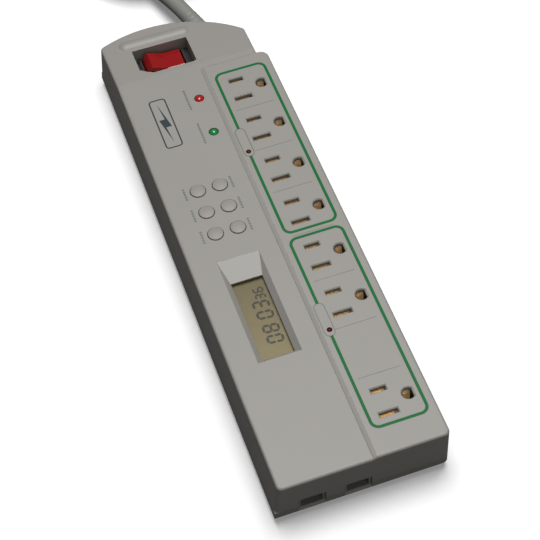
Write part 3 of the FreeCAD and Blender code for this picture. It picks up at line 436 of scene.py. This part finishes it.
class Workshop:
    """Keeps the materials, makes meshes and puts finished pieces on their bodies."""

    def __init__(self, frame: dict) -> None:
        """Keep the frame and build the shader groups."""
        self.frame = frame
        self.groups = ShaderGroups()
        self.materials: dict[str, bpy.types.Material] = {}

    def material(self, finish: Finish) -> bpy.types.Material:
        """Return the finish's material, made on first use."""
        if finish.label not in self.materials:
            self.materials[finish.label] = finish.build(self.groups)
        return self.materials[finish.label]

    def dress_frame(self) -> None:
        """Give every carried-over node the finish of its slot."""
        for part in self.frame["record"]["subparts"]:
            node = self.frame["nodes"][part["node"]]
            finish = SLOT_FINISHES[part["material_slot"]]
            node.data.materials.clear()
            node.data.materials.append(self.material(finish))
            log.info("dressed %s in %s", part["node"], finish.label)

    def mesh_piece(self, name: str, points: np.ndarray, faces: Sequence[Sequence[int]], finish: Finish,
                   slot: str, smooth: bool = True, body: Body = Body.CASE) -> bpy.types.Object:
        """Make a mesh piece, with its place in its mesh, and put it on its body.

        Args:
            name: the piece's name.
            points: corner positions in metres, one row each.
            faces: corner numbers of each face, anticlockwise from outside.
            finish: what it is dressed in.
            slot: the record's material slot; not used.
            smooth: whether its faces are shaded smooth.
            body: the body it rides on.

        Returns:
            The new object.
        """
        mesh = bpy.data.meshes.new(name)
        mesh.from_pydata(points.tolist(), [], [tuple(int(i) for i in face) for face in faces])
        mesh.polygons.foreach_set("use_smooth", [smooth] * len(mesh.polygons))
        mesh.materials.append(self.material(finish))
        mesh.update()
        piece = bpy.data.objects.new(name, mesh)
        bpy.context.scene.collection.objects.link(piece)
        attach(piece, body.value)
        log.info("made %s with %d faces", name, len(mesh.polygons))
        return piece


# Shapes as arrays


def grid_faces(rows: int, columns: int, wrap_rows: bool, wrap_columns: bool) -> np.ndarray:
    """Quads of a grid of points, row by row.

    Args:
        rows: number of rows of points.
        columns: number of points in a row.
        wrap_rows: whether the last row joins the first.
        wrap_columns: whether a row's last point joins its first.

    Returns:
        Four corner numbers for each quad.
    """
    row_count = rows if wrap_rows else rows - 1
    column_count = columns if wrap_columns else columns - 1
    row, column = np.meshgrid(np.arange(row_count), np.arange(column_count), indexing="ij")
    next_row = (row + 1) % rows
    next_column = (column + 1) % columns
    corners = [row * columns + column, row * columns + next_column,
               next_row * columns + next_column, next_row * columns + column]
    return np.stack(corners, axis=-1).reshape(-1, 4)


def lofted(sections: np.ndarray) -> Shape:
    """Closed skin over cross-sections that follow each other along +Y.

    Neighbouring sections are joined by quads, and a fan to the point of the Y axis at its height closes
    each end.

    Args:
        sections: points by section, by number round it, and by axis.

    Returns:
        The points and the faces.
    """
    count, around = sections.shape[:2]
    middles = np.zeros((2, 3))
    middles[:, 1] = sections[[0, -1], 0, 1]
    first = np.arange(around)
    after = (first + 1) % around
    last = (count - 1) * around
    near = np.column_stack([np.full(around, count * around), after, first])
    far = np.column_stack([np.full(around, count * around + 1), last + first, last + after])
    faces = grid_faces(count, around, False, True).tolist()
    faces.extend(np.stack([near, far], axis=1).reshape(-1, 3).tolist())
    return np.vstack([sections.reshape(-1, 3), middles]), faces


def revolved(stations: np.ndarray, around: int) -> Shape:
    """Closed surface of revolution about +Y.

    Point (i, a) is (r_i sin a, y_i, r_i cos a) for station (y_i, r_i), with a going once round.

    Args:
        stations: rows of (y, radius) from one end to the other.
        around: number of points round the axis.

    Returns:
        The points and the faces.
    """
    angle = np.linspace(0.0, 2.0 * np.pi, around, endpoint=False)
    y = np.repeat(stations[:, 0:1], around, axis=1)
    x = stations[:, 1:2] * np.sin(angle)
    z = stations[:, 1:2] * np.cos(angle)
    return lofted(np.stack([x, y, z], axis=-1))


def extruded(outline: np.ndarray, low: float, high: float) -> Shape:
    """Flat plate of a plan outline between two heights.

    Args:
        outline: plan points, anticlockwise.
        low: height of its underside.
        high: height of its face.

    Returns:
        The points and the faces.
    """
    count = len(outline)
    bottom = np.column_stack([outline, np.full(count, low)])
    top = np.column_stack([outline, np.full(count, high)])
    faces: list[list[int]] = [list(range(count, 2 * count)), list(range(count - 1, -1, -1))]
    step = np.arange(count)
    after = (step + 1) % count
    faces.extend(np.stack([step, after, after + count, step + count], axis=-1).tolist())
    return np.vstack([bottom, top]), faces


def joined(parts: Iterable[Shape]) -> Shape:
    """Several shapes as one.

    Args:
        parts: the points and the faces of each.

    Returns:
        The points and the faces of all, with the corner numbers moved on.
    """
    points: list[np.ndarray] = []
    faces: list[list[int]] = []
    offset = 0
    for part_points, part_faces in parts:
        points.append(part_points)
        faces.extend([[int(i) + offset for i in face] for face in part_faces])
        offset += len(part_points)
    return np.vstack(points), faces


def rounded_rectangle(left: float, right: float, front: float, back: float, radius: float,
                      steps: int) -> np.ndarray:
    """Plan outline, anticlockwise, of a rectangle whose corners are quarter circles.

    Args:
        left: lowest X.
        right: highest X.
        front: lowest Y.
        back: highest Y.
        radius: radius of the corners.
        steps: number of points on each corner.

    Returns:
        The outline's points, from the right end of the back right corner.
    """
    quarter = np.linspace(0.0, np.pi / 2.0, steps)
    centres = [(right - radius, back - radius), (left + radius, back - radius),
               (left + radius, front + radius), (right - radius, front + radius)]
    arcs = []
    for turn, (x, y) in enumerate(centres):
        angle = quarter + turn * np.pi / 2.0
        arcs.append(np.column_stack([x + radius * np.cos(angle), y + radius * np.sin(angle)]))
    return np.vstack(arcs)


def ribbon(path: np.ndarray, width: float, low: float, high: float, closed: bool) -> Shape:
    """Flat strip of a width along a plan path, between two heights.

    Each path point is offset by half the width along the normal of its central difference, so the strip's
    edges run parallel to the path.

    Args:
        path: plan points along the middle of the strip.
        width: the strip's width.
        low: height of its underside.
        high: height of its face.
        closed: whether the path returns to its start.

    Returns:
        The points and the faces.
    """
    if closed:
        ahead = np.roll(path, -1, axis=0) - np.roll(path, 1, axis=0)
    else:
        ahead = np.gradient(path, axis=0)
    ahead /= np.linalg.norm(ahead, axis=1, keepdims=True)
    side = np.column_stack([-ahead[:, 1], ahead[:, 0]]) * width / 2.0
    section = [(side, low), (-side, low), (-side, high), (side, high)]
    rings = [np.column_stack([path + offset, np.full(len(path), level)]) for offset, level in section]
    points = np.stack(rings, axis=1).reshape(-1, 3)
    faces = grid_faces(len(path), 4, closed, True).tolist()
    if not closed:
        last = 4 * (len(path) - 1)
        faces.append([0, 3, 2, 1])
        faces.append([last, last + 1, last + 2, last + 3])
    return points, faces


def smoothstep(value: np.ndarray, start: float, end: float) -> np.ndarray:
    """0 before start, 1 after end, and the cubic 3s^2 - 2s^3 between."""
    share = np.clip((value - start) / (end - start), 0.0, 1.0)
    return share * share * (3.0 - 2.0 * share)


# The strip's own sub-assemblies


@dataclass
class Studio:
    """Camera, floor and soft lights."""

    azimuth: float = 15.47
    elevation: float = 53.395
    roll: float = -4.495
    place: Point = (-0.12369, -0.46739, 0.63463)
    focal_length: float = 108.05
    sensor: float = 36.0
    floor_lift: float = 0.16
    floor_half: float = 4.0
    floor_seen: float = 0.95
    floor_unseen: float = 0.10
    room_light: float = 0.12

    def camera(self) -> None:
        """Place the camera at the product's viewing angle."""
        data = bpy.data.cameras.new("camera")
        data.lens = self.focal_length
        data.sensor_width = self.sensor
        data.clip_start = 0.05
        camera = bpy.data.objects.new("camera", data)
        turn = math.radians(self.azimuth)
        tilt = math.radians(self.elevation)
        bank = math.radians(self.roll)
        forward = Vector((math.sin(turn) * math.cos(tilt), math.cos(turn) * math.cos(tilt), -math.sin(tilt)))
        level = Vector((math.cos(turn), -math.sin(turn), 0.0))
        upright = level.cross(forward)
        right = level * math.cos(bank) + upright * math.sin(bank)
        up = upright * math.cos(bank) - level * math.sin(bank)
        axes = Matrix((right, up, -forward)).transposed()
        camera.matrix_world = Matrix.Translation(self.place) @ axes.to_4x4()
        bpy.context.scene.collection.objects.link(camera)
        bpy.context.scene.camera = camera

    def floor(self) -> None:
        """Lay a plain pale floor that throws little light back at the strip's sides."""
        material = bpy.data.materials.new("studio floor")
        material.use_nodes = True
        tree = material.node_tree
        shader = tree.nodes["Principled BSDF"]
        shader.inputs["Roughness"].default_value = 0.9
        shader.inputs["Specular IOR Level"].default_value = 0.0
        path = tree.nodes.new("ShaderNodeLightPath")
        mix = tree.nodes.new("ShaderNodeMix")
        mix.data_type = "RGBA"
        mix.inputs["A"].default_value = (*[self.floor_unseen] * 3, 1.0)
        mix.inputs["B"].default_value = (*[self.floor_seen] * 3, 1.0)
        tree.links.new(path.outputs["Is Camera Ray"], mix.inputs["Factor"])
        tree.links.new(mix.outputs["Result"], shader.inputs["Base Color"])
        lift = ShaderGroups.arithmetic(tree, "MULTIPLY", path.outputs["Is Camera Ray"], self.floor_lift)
        shader.inputs["Emission Color"].default_value = (1.0, 1.0, 1.0, 1.0)
        tree.links.new(lift, shader.inputs["Emission Strength"])
        half = self.floor_half
        corners = [(-half, -half, 0), (half, -half, 0), (half, half, 0), (-half, half, 0)]
        mesh = bpy.data.meshes.new("floor")
        mesh.from_pydata(corners, [], [(0, 1, 2, 3)])
        mesh.materials.append(material)
        floor = bpy.data.objects.new("floor", mesh)
        bpy.context.scene.collection.objects.link(floor)

    @staticmethod
    def softbox(name: str, place: Point, aim: Point, size: float, power: float) -> None:
        """Hang one square soft light.

        Args:
            name: the light's name.
            place: where it hangs.
            aim: the point that it faces.
            size: its side in metres.
            power: its power in watts.
        """
        data = bpy.data.lights.new(name, "AREA")
        data.shape = "SQUARE"
        data.size = size
        data.energy = power
        light = bpy.data.objects.new(name, data)
        heading = Vector(aim) - Vector(place)
        light.rotation_euler = heading.to_track_quat("-Z", "Y").to_euler()
        light.location = place
        bpy.context.scene.collection.objects.link(light)

    def lights(self) -> None:
        """Hang an overhead softbox, a weak front fill and a dim room."""
        self.softbox("overhead softbox", (0.12, 0.22, 1.45), (0.0, 0.02, 0.0), 0.9, 20.5)
        self.softbox("front fill", (0.35, -1.6, 0.75), (0.0, 0.0, 0.0), 0.8, 2.6)
        world = bpy.data.worlds.new("studio room")
        world.use_nodes = True
        world.node_tree.nodes["Background"].inputs["Color"].default_value = (1.0, 1.0, 1.0, 1.0)
        world.node_tree.nodes["Background"].inputs["Strength"].default_value = self.room_light
        bpy.context.scene.world = world
        bpy.context.scene.view_settings.view_transform = "Standard"


@dataclass
class MainsCord:
    """Cord from the strain relief, through its coil, to the plug."""

    diameter: float = 9.0 * MM
    length: float = 1.24
    coil_centre: PlanPoint = COIL_CENTRE
    coil_radii: tuple[float, float] = (49.5 * MM, 40.5 * MM)
    coil_layers: tuple[float, float] = (5.5 * MM, 14.5 * MM)
    start_angle: float = 202.6
    turns: float = 3.835
    points_per_turn: int = 20
    moves_in: tuple[float, float] = (0.86, 0.98)
    moves_up: tuple[float, float] = (1.80, 1.93)
    moves_out: tuple[float, float] = (2.76, 2.88)
    smoothness: int = 8

    def coil_points(self) -> np.ndarray:
        """Points of the coil's turns.

        At turn t the angle is the start less t whole circles. The radius goes from the outer ring to the
        inner one at the end of turn 0 and back out late in turn 2; the height changes layer late in turn
        1. Each change is a smoothstep, and they follow each other so that strands never meet. The curve
        touches the middle of each line between control points, so they stand off by 1 / cos(pi / points).

        Returns:
            The control points in metres, one row each.
        """
        count = int(self.turns * self.points_per_turn)
        turn = np.arange(1, count) / self.points_per_turn
        angle = math.radians(self.start_angle) - 2.0 * np.pi * turn
        outer, inner = self.coil_radii
        low, high = self.coil_layers
        inwards = smoothstep(turn, *self.moves_in) - smoothstep(turn, *self.moves_out)
        radius = outer + (inner - outer) * inwards
        radius = radius / math.cos(math.pi / self.points_per_turn)
        height = low + (high - low) * smoothstep(turn, *self.moves_up)
        return np.column_stack([self.coil_centre[0] + radius * np.cos(angle),
                                self.coil_centre[1] + radius * np.sin(angle), height])

    def build(self, shop: Workshop, with_pieces: list[bpy.types.Object]) -> bpy.types.Object:
        """Args:
            shop: gives the material.
            with_pieces: the separate pieces on the cord; not used.

        Returns:
            The curve object.
        """
        lead = np.array(CORD_LEAD) * MM
        tail = np.array(CORD_TAIL) * MM
        points = np.vstack([lead, self.coil_points(), tail])
        curve = bpy.data.curves.new("mains_cord", "CURVE")
        curve.dimensions = "3D"
        curve.bevel_depth = self.diameter / 2.0
        curve.bevel_resolution = self.smoothness
        curve.resolution_u = self.smoothness
        curve.use_fill_caps = True
        spline = curve.splines.new("NURBS")
        spline.points.add(len(points) - 1)
        spline.points.foreach_set("co", np.column_stack([points, np.ones(len(points))]).ravel())
        spline.order_u = 3
        spline.use_endpoint_u = True
        curve.materials.append(shop.material(CORD_GREY))
        cord = bpy.data.objects.new("mains_cord", curve)
        bpy.context.scene.collection.objects.link(cord)
        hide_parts("cord", "cord_coil", "cord_tail")
        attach(cord, Body.CASE.value)
        log.info("made mains_cord of %d points", len(points))
        return cord


@dataclass
class StrainRelief:
    """Ribbed sleeve where the cord leaves the case."""

    exit_point: Point = (19.8 * MM, 136.2 * MM, 11.5 * MM)
    heading: float = 15.0
    grip: float = 16.5 * MM
    reach: float = 20.0 * MM
    neck_radius: float = 5.1 * MM
    tip_radius: float = SLEEVE_TIP_RADIUS
    collar_radius: float = 6.3 * MM
    collar_length: float = 3.0 * MM
    ribs: int = 6
    rib_depth: float = SLEEVE_RIB_DEPTH
    around: int = 48

    def stations(self) -> np.ndarray:
        """Radius along the sleeve: collar, neck, then a taper with rounded ribs.

        On the taper the radius falls in a straight line and loses rib_depth times the eighth power of a
        sine at each groove.

        Returns:
            Rows of distance and radius.
        """
        start = -self.grip
        inside = [(start, self.collar_radius), (start + self.collar_length, self.collar_radius),
                  (start + self.collar_length, self.neck_radius), (0.0, self.neck_radius)]
        share = np.linspace(0.02, 1.0, 97)
        radius = self.neck_radius + (self.tip_radius - self.neck_radius) * share
        groove = np.sin(np.pi * self.ribs * share) ** 8
        radius = radius - self.rib_depth * groove * (share < 0.98)
        return np.vstack([np.array(inside), np.column_stack([share * self.reach, radius])])

    def build(self, shop: Workshop) -> bpy.types.Object:
        """Make the sleeve and let it stand for its node."""
        points, faces = revolved(self.stations(), self.around)
        turn = Matrix.Rotation(math.radians(self.heading), 3, "Z")
        points = points @ np.array(turn).T + np.array(self.exit_point)
        piece = shop.mesh_piece("strain_relief_sleeve", points, faces, CORD_GREY, "cord_grey")
        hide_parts("strain_relief")
        return piece


@dataclass
class MainsPlug:
    """Moulded plug body, which runs along +Y from the end of the cord's tail."""

    sleeve: float = 14.0 * MM
    length: float = 30.0 * MM
    half_width: float = 12.5 * MM
    half_height: float = 12.2 * MM
    cord_radius: float = SLEEVE_TIP_RADIUS
    sleeve_radius: float = 6.9 * MM
    ribs: int = 5
    grips: int = 5
    around: int = 64

    def sections(self) -> tuple[np.ndarray, np.ndarray, np.ndarray, np.ndarray]:
        """Sizes of each cross-section.

        The ribbed tail widens in a straight line, the body swells by a smoothstep, and a bell curve and
        sine grooves narrow it where fingers hold it.

        Returns:
            Distance, half width, half height and superellipse power of every section.
        """
        tail = np.linspace(0.0, 1.0, 29)
        tail_size = self.cord_radius + (self.sleeve_radius - self.cord_radius) * tail
        tail_size = tail_size - SLEEVE_RIB_DEPTH * np.sin(np.pi * self.ribs * tail) ** 6 * (tail < 0.95)
        swell = np.linspace(0.0, 1.0, 61)
        grow = smoothstep(swell, -0.02, 0.22)
        narrow = 1.0 - 0.10 * np.exp(-((swell - 0.45) / 0.16) ** 2)
        groove = 1.0 - 0.035 * np.sin(np.pi * self.grips * (swell - 0.3) / 0.35) ** 4 * (
            (swell > 0.3) & (swell < 0.65))
        edge = 1.0 - 0.05 * smoothstep(swell, 0.965, 1.0)
        wide = self.sleeve_radius + (self.half_width - self.sleeve_radius) * grow
        high = self.sleeve_radius + (self.half_height - self.sleeve_radius) * grow
        distance = np.concatenate([tail * self.sleeve, self.sleeve + swell[1:] * self.length])
        widths = np.concatenate([tail_size, (wide * narrow * groove * edge)[1:]])
        heights = np.concatenate([tail_size, (high * edge)[1:]])
        square = np.concatenate([np.full(len(tail), 2.0), 2.0 + 3.0 * grow[1:]])
        return distance, widths, heights, square

    def build(self, shop: Workshop) -> bpy.types.Object:
        """Make the body: each section is a superellipse, |x/w|^n + |z/h|^n = 1."""
        distance, widths, heights, square = self.sections()
        angle = np.linspace(0.0, 2.0 * np.pi, self.around, endpoint=False)
        sine, cosine = np.sin(angle), np.cos(angle)
        power = 2.0 / square[:, None]
        x = widths[:, None] * np.sign(sine) * np.abs(sine) ** power
        z = heights[:, None] * np.sign(cosine) * np.abs(cosine) ** power
        y = np.repeat(distance[:, None], self.around, axis=1)
        points, faces = lofted(np.stack([x, y, z], axis=-1))
        points = points + np.array(CORD_TAIL[-1]) * MM
        piece = shop.mesh_piece("plug_moulding", points, faces, CORD_GREY, "cord_grey")
        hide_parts("plug_body")
        return piece


@dataclass
class CoilStrap:
    """Hook-and-loop strap wrapped once round the coil."""

    centre: PlanPoint = COIL_CENTRE
    angle: float = 85.0
    inner: float = 35.8 * MM
    outer: float = 54.2 * MM
    low: float = 0.9 * MM
    high: float = 19.2 * MM
    width: float = 10.0 * MM
    thickness: float = 0.7 * MM
    outer_corner: float = 4.0 * MM
    inner_corner: float = 3.3 * MM
    corner_steps: int = 10
    edge: float = 0.25 * MM

    def build(self, shop: Workshop) -> bpy.types.Object:
        """Make the strap: a closed band whose section is swept round a rounded rectangle."""
        outside = rounded_rectangle(self.inner - self.thickness, self.outer + self.thickness,
                                    self.low - self.thickness, self.high + self.thickness,
                                    self.outer_corner, self.corner_steps)
        inside = rounded_rectangle(self.inner, self.outer, self.low, self.high, self.inner_corner,
                                   self.corner_steps)
        half = self.width / 2.0
        bevelled = half - self.edge
        middle = (inside + outside) / 2.0
        section = [(inside, -bevelled), (middle, -half), (outside, -bevelled), (outside, bevelled),
                   (middle, half), (inside, bevelled)]
        rings = [np.column_stack([path[:, 0], np.full(len(path), across), path[:, 1]])
                 for path, across in section]
        points = np.stack(rings, axis=1).reshape(-1, 3)
        faces = grid_faces(len(inside), len(section), True, True).tolist()
        turn = np.array(Matrix.Rotation(math.radians(self.angle), 3, "Z"))
        points = points @ turn.T + np.array([*self.centre, 0.0])
        piece = shop.mesh_piece("coil_strap", points, faces, STRAP_BLACK, "black_plastic")
        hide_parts("cord_tie")
        return piece


@dataclass
class BankPrint:
    """Green frames and timer badges printed on the outlet bank."""

    surface: float = 28.5 * MM
    ink: float = 0.06 * MM
    line: float = 1.45 * MM
    left: float = 10.35 * MM
    right: float = 36.44 * MM
    corner: float = 3.6 * MM
    corner_steps: int = 12
    groups: dict[str, tuple[float, float]] = field(default_factory=lambda: {
        "rear": (-16.2 * MM, 93.9 * MM), "front": (-130.4 * MM, -20.3 * MM)})
    badge_fronts: dict[str, float] = field(default_factory=lambda: {"rear": 35.9 * MM, "front": -78.4 * MM})
    badge_length: float = 19.0 * MM
    badge_width: float = 4.9 * MM
    badge_line: float = 0.42 * MM

    def frame_path(self, front: float, back: float, badge: float) -> np.ndarray:
        """Open path round one group that leaves out the stretch of its badge.

        Args:
            front: the group's front edge.
            back: its back edge.
            badge: front end of the badge on its left side.

        Returns:
            Plan points, from the badge's front end the long way round to its back end.
        """
        loop = rounded_rectangle(self.left, self.right, front, back, self.corner, self.corner_steps)
        loop = np.roll(loop, -2 * self.corner_steps, axis=0)
        below = np.array([[self.left, badge]])
        above = np.array([[self.left, badge + self.badge_length]])
        return np.vstack([below, loop, above])

    def build(self, shop: Workshop) -> None:
        """Print both frames and both badges."""
        low = self.surface
        for place, (front, back) in self.groups.items():
            badge = self.badge_fronts[place]
            path = self.frame_path(front, back, badge)
            points, faces = ribbon(path, self.line, low, low + self.ink, False)
            shop.mesh_piece("print_frame_" + place, points, faces, INK_GREEN, "lamp_green", smooth=False)
            half = self.badge_width / 2.0
            outline = rounded_rectangle(self.left - half, self.left + half, badge, badge + self.badge_length,
                                        half - 0.01 * MM, self.corner_steps)
            points, faces = ribbon(outline, self.badge_line, low, low + self.ink, True)
            shop.mesh_piece("print_badge_" + place, points, faces, INK_GREY, "wire_green", smooth=False)


@dataclass
class Display:
    """Segments of the liquid crystal display, read along +Y with their tops towards -X."""

    slant: float = 0.08
    stroke: float = 1.2 * MM
    ink: float = 0.05 * MM
    tip_gap: float = 0.12
    small_stroke: float = 0.7
    large: tuple[float, float] = (3.6 * MM, 7.0 * MM)
    small: tuple[float, float] = (2.4 * MM, 4.4 * MM)
    base_x: float = -9.4 * MM
    digits: tuple[tuple[str, float, bool], ...] = (
        ("0", -67.3, True), ("8", -61.2, True), ("0", -53.1, True), ("3", -47.2, True), ("3", -42.6, False),
        ("6", -38.6, False))

    LIT: ClassVar[dict[str, str]] = {"0": "abcdef", "3": "abcdg", "6": "acdefg", "8": "abcdefg"}
    BARS: ClassVar[dict[str, tuple[str, str]]] = {
        "a": ("tl", "tr"), "b": ("tr", "mr"), "c": ("mr", "br"), "d": ("bl", "br"), "e": ("ml", "bl"),
        "f": ("tl", "ml"), "g": ("ml", "mr")}

    def segment(self, start: np.ndarray, end: np.ndarray, stroke: float) -> np.ndarray:
        """Six-cornered bar, pointed at both ends.

        Args:
            start: plan point where it starts.
            end: plan point where it ends.
            stroke: its width.

        Returns:
            Its outline, anticlockwise.
        """
        ahead = (end - start) / np.linalg.norm(end - start)
        side = np.array([-ahead[1], ahead[0]]) * stroke / 2.0
        start = start + ahead * stroke * self.tip_gap
        end = end - ahead * stroke * self.tip_gap
        tip = ahead * stroke / 2.0
        return np.array([start, start + tip - side, end - tip - side,
                         end, end - tip + side, start + tip + side])

    def digit(self, value: str, middle: float, size: tuple[float, float], stroke: float) -> list[np.ndarray]:
        """Outlines of a digit's lit segments.

        Args:
            value: the digit.
            middle: Y of its middle.
            size: its width and height.
            stroke: width of its segments.

        Returns:
            One plan outline for each segment.
        """
        width, height = size
        half = width / 2.0
        grid = {"tl": (-half, height), "tr": (half, height), "ml": (-half, height / 2.0),
                "mr": (half, height / 2.0), "bl": (-half, 0.0), "br": (half, 0.0)}
        outlines = []
        for name in self.LIT[value]:
            ends = []
            for corner in self.BARS[name]:
                across, rise = grid[corner]
                along = across + self.slant * rise
                ends.append(np.array([self.base_x - rise, middle + along]))
            outlines.append(self.segment(ends[0], ends[1], stroke))
        return outlines

    def build(self, shop: Workshop) -> None:
        """Make every digit as one piece on the panel's face."""
        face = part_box("lcd_panel")[1].z
        for number, (value, middle, is_large) in enumerate(self.digits):
            size = self.large if is_large else self.small
            stroke = self.stroke if is_large else self.small_stroke * self.stroke
            plates = [extruded(outline, face - self.ink / 2.0, face + self.ink)
                      for outline in self.digit(value, middle * MM, size, stroke)]
            points, faces = joined(plates)
            shop.mesh_piece(f"display_digit_{number + 1}", points, faces, LCD_INK, "lcd_glass", smooth=False)


@dataclass
class TopPrint:
    """Small generic marks printed on the plain top: key and lamp bars, and a bolt badge."""

    surface: float = 27.7 * MM
    ink: float = 0.05 * MM
    bar_width: float = 1.05 * MM
    dash: float = 1.15 * MM
    dash_gap: float = 0.45 * MM
    key_rows: tuple[float, ...] = (24.6 * MM, 10.6 * MM, -3.4 * MM)
    key_bars: tuple[float, ...] = (-27.2 * MM, -3.4 * MM)
    key_bar_length: float = 8.1 * MM
    lamp_bar_x: float = -7.6 * MM
    lamp_rows: tuple[float, ...] = (83.5 * MM, 59.5 * MM)
    lamp_bar_length: float = 14.5 * MM
    badge: tuple[float, float, float, float] = (-26.6 * MM, -18.4 * MM, 56.0 * MM, 89.0 * MM)
    badge_corner: float = 1.6 * MM
    badge_line: float = 0.7 * MM
    bolt: tuple[PlanPoint, ...] = ((-0.5, 0.1), (0.08, 0.1), (-0.12, 0.5), (0.5, -0.1), (-0.08, -0.1),
                                   (0.12, -0.5))
    bolt_share: PlanPoint = (0.62, 0.82)

    def dashes(self, x: float, y: float, length: float) -> list[Shape]:
        """Row of short bars along Y, with a gap between each and the next.

        Args:
            x: middle of the row.
            y: middle of the row.
            length: room for the row.

        Returns:
            One plate for each bar.
        """
        half = self.bar_width / 2.0
        step = self.dash + self.dash_gap
        count = int(length // step)
        plates = []
        for number in range(count):
            start = y + (number - count / 2.0) * step + self.dash_gap / 2.0
            outline = rounded_rectangle(x - half, x + half, start, start + self.dash, 0.25 * MM, 4)
            plates.append(extruded(outline, self.surface - self.ink, self.surface + self.ink))
        return plates

    def build(self, shop: Workshop) -> None:
        """Print the bars and the badge."""
        bars = [plate for x in self.key_bars for y in self.key_rows
                for plate in self.dashes(x, y, self.key_bar_length)]
        shop.mesh_piece("print_key_bars", *joined(bars), INK_GREY, "wire_black", smooth=False)
        bars = [plate for y in self.lamp_rows
                for plate in self.dashes(self.lamp_bar_x, y, self.lamp_bar_length)]
        shop.mesh_piece("print_lamp_bars", *joined(bars), INK_GREY, "wire_black", smooth=False)
        left, right, front, back = self.badge
        outline = rounded_rectangle(left, right, front, back, self.badge_corner, 8)
        ring = ribbon(outline, self.badge_line, self.surface - self.ink, self.surface + self.ink, True)
        shop.mesh_piece("print_badge_ring", *ring, INK_DARK, "wire_black", smooth=False)
        middle = np.array([(left + right) / 2.0, (front + back) / 2.0])
        size = np.array(self.bolt_share) * np.array([right - left, back - front])
        bolt = np.array(self.bolt) * size + middle
        plate = extruded(bolt[::-1], self.surface - self.ink, self.surface + self.ink)
        shop.mesh_piece("print_badge_bolt", *plate, INK_DARK, "wire_black", smooth=False)


def main() -> None:
    """Build the looks in order."""
    logging.basicConfig(level=logging.INFO, format="%(name)s: %(message)s")
    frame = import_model()
    studio = Studio()
    studio.camera()
    shop = Workshop(frame)
    shop.dress_frame()
    plug = MainsPlug().build(shop)
    strap = CoilStrap().build(shop)
    relief = StrainRelief().build(shop)
    nodes = frame["nodes"]
    MainsCord().build(shop, [plug, strap, relief, nodes["plug_blades"], nodes["plug_ground_pin"]])
    studio.floor()
    studio.lights()
    BankPrint().build(shop)
    Display().build(shop)
    TopPrint().build(shop)


if __name__ == "__main__":
    main()
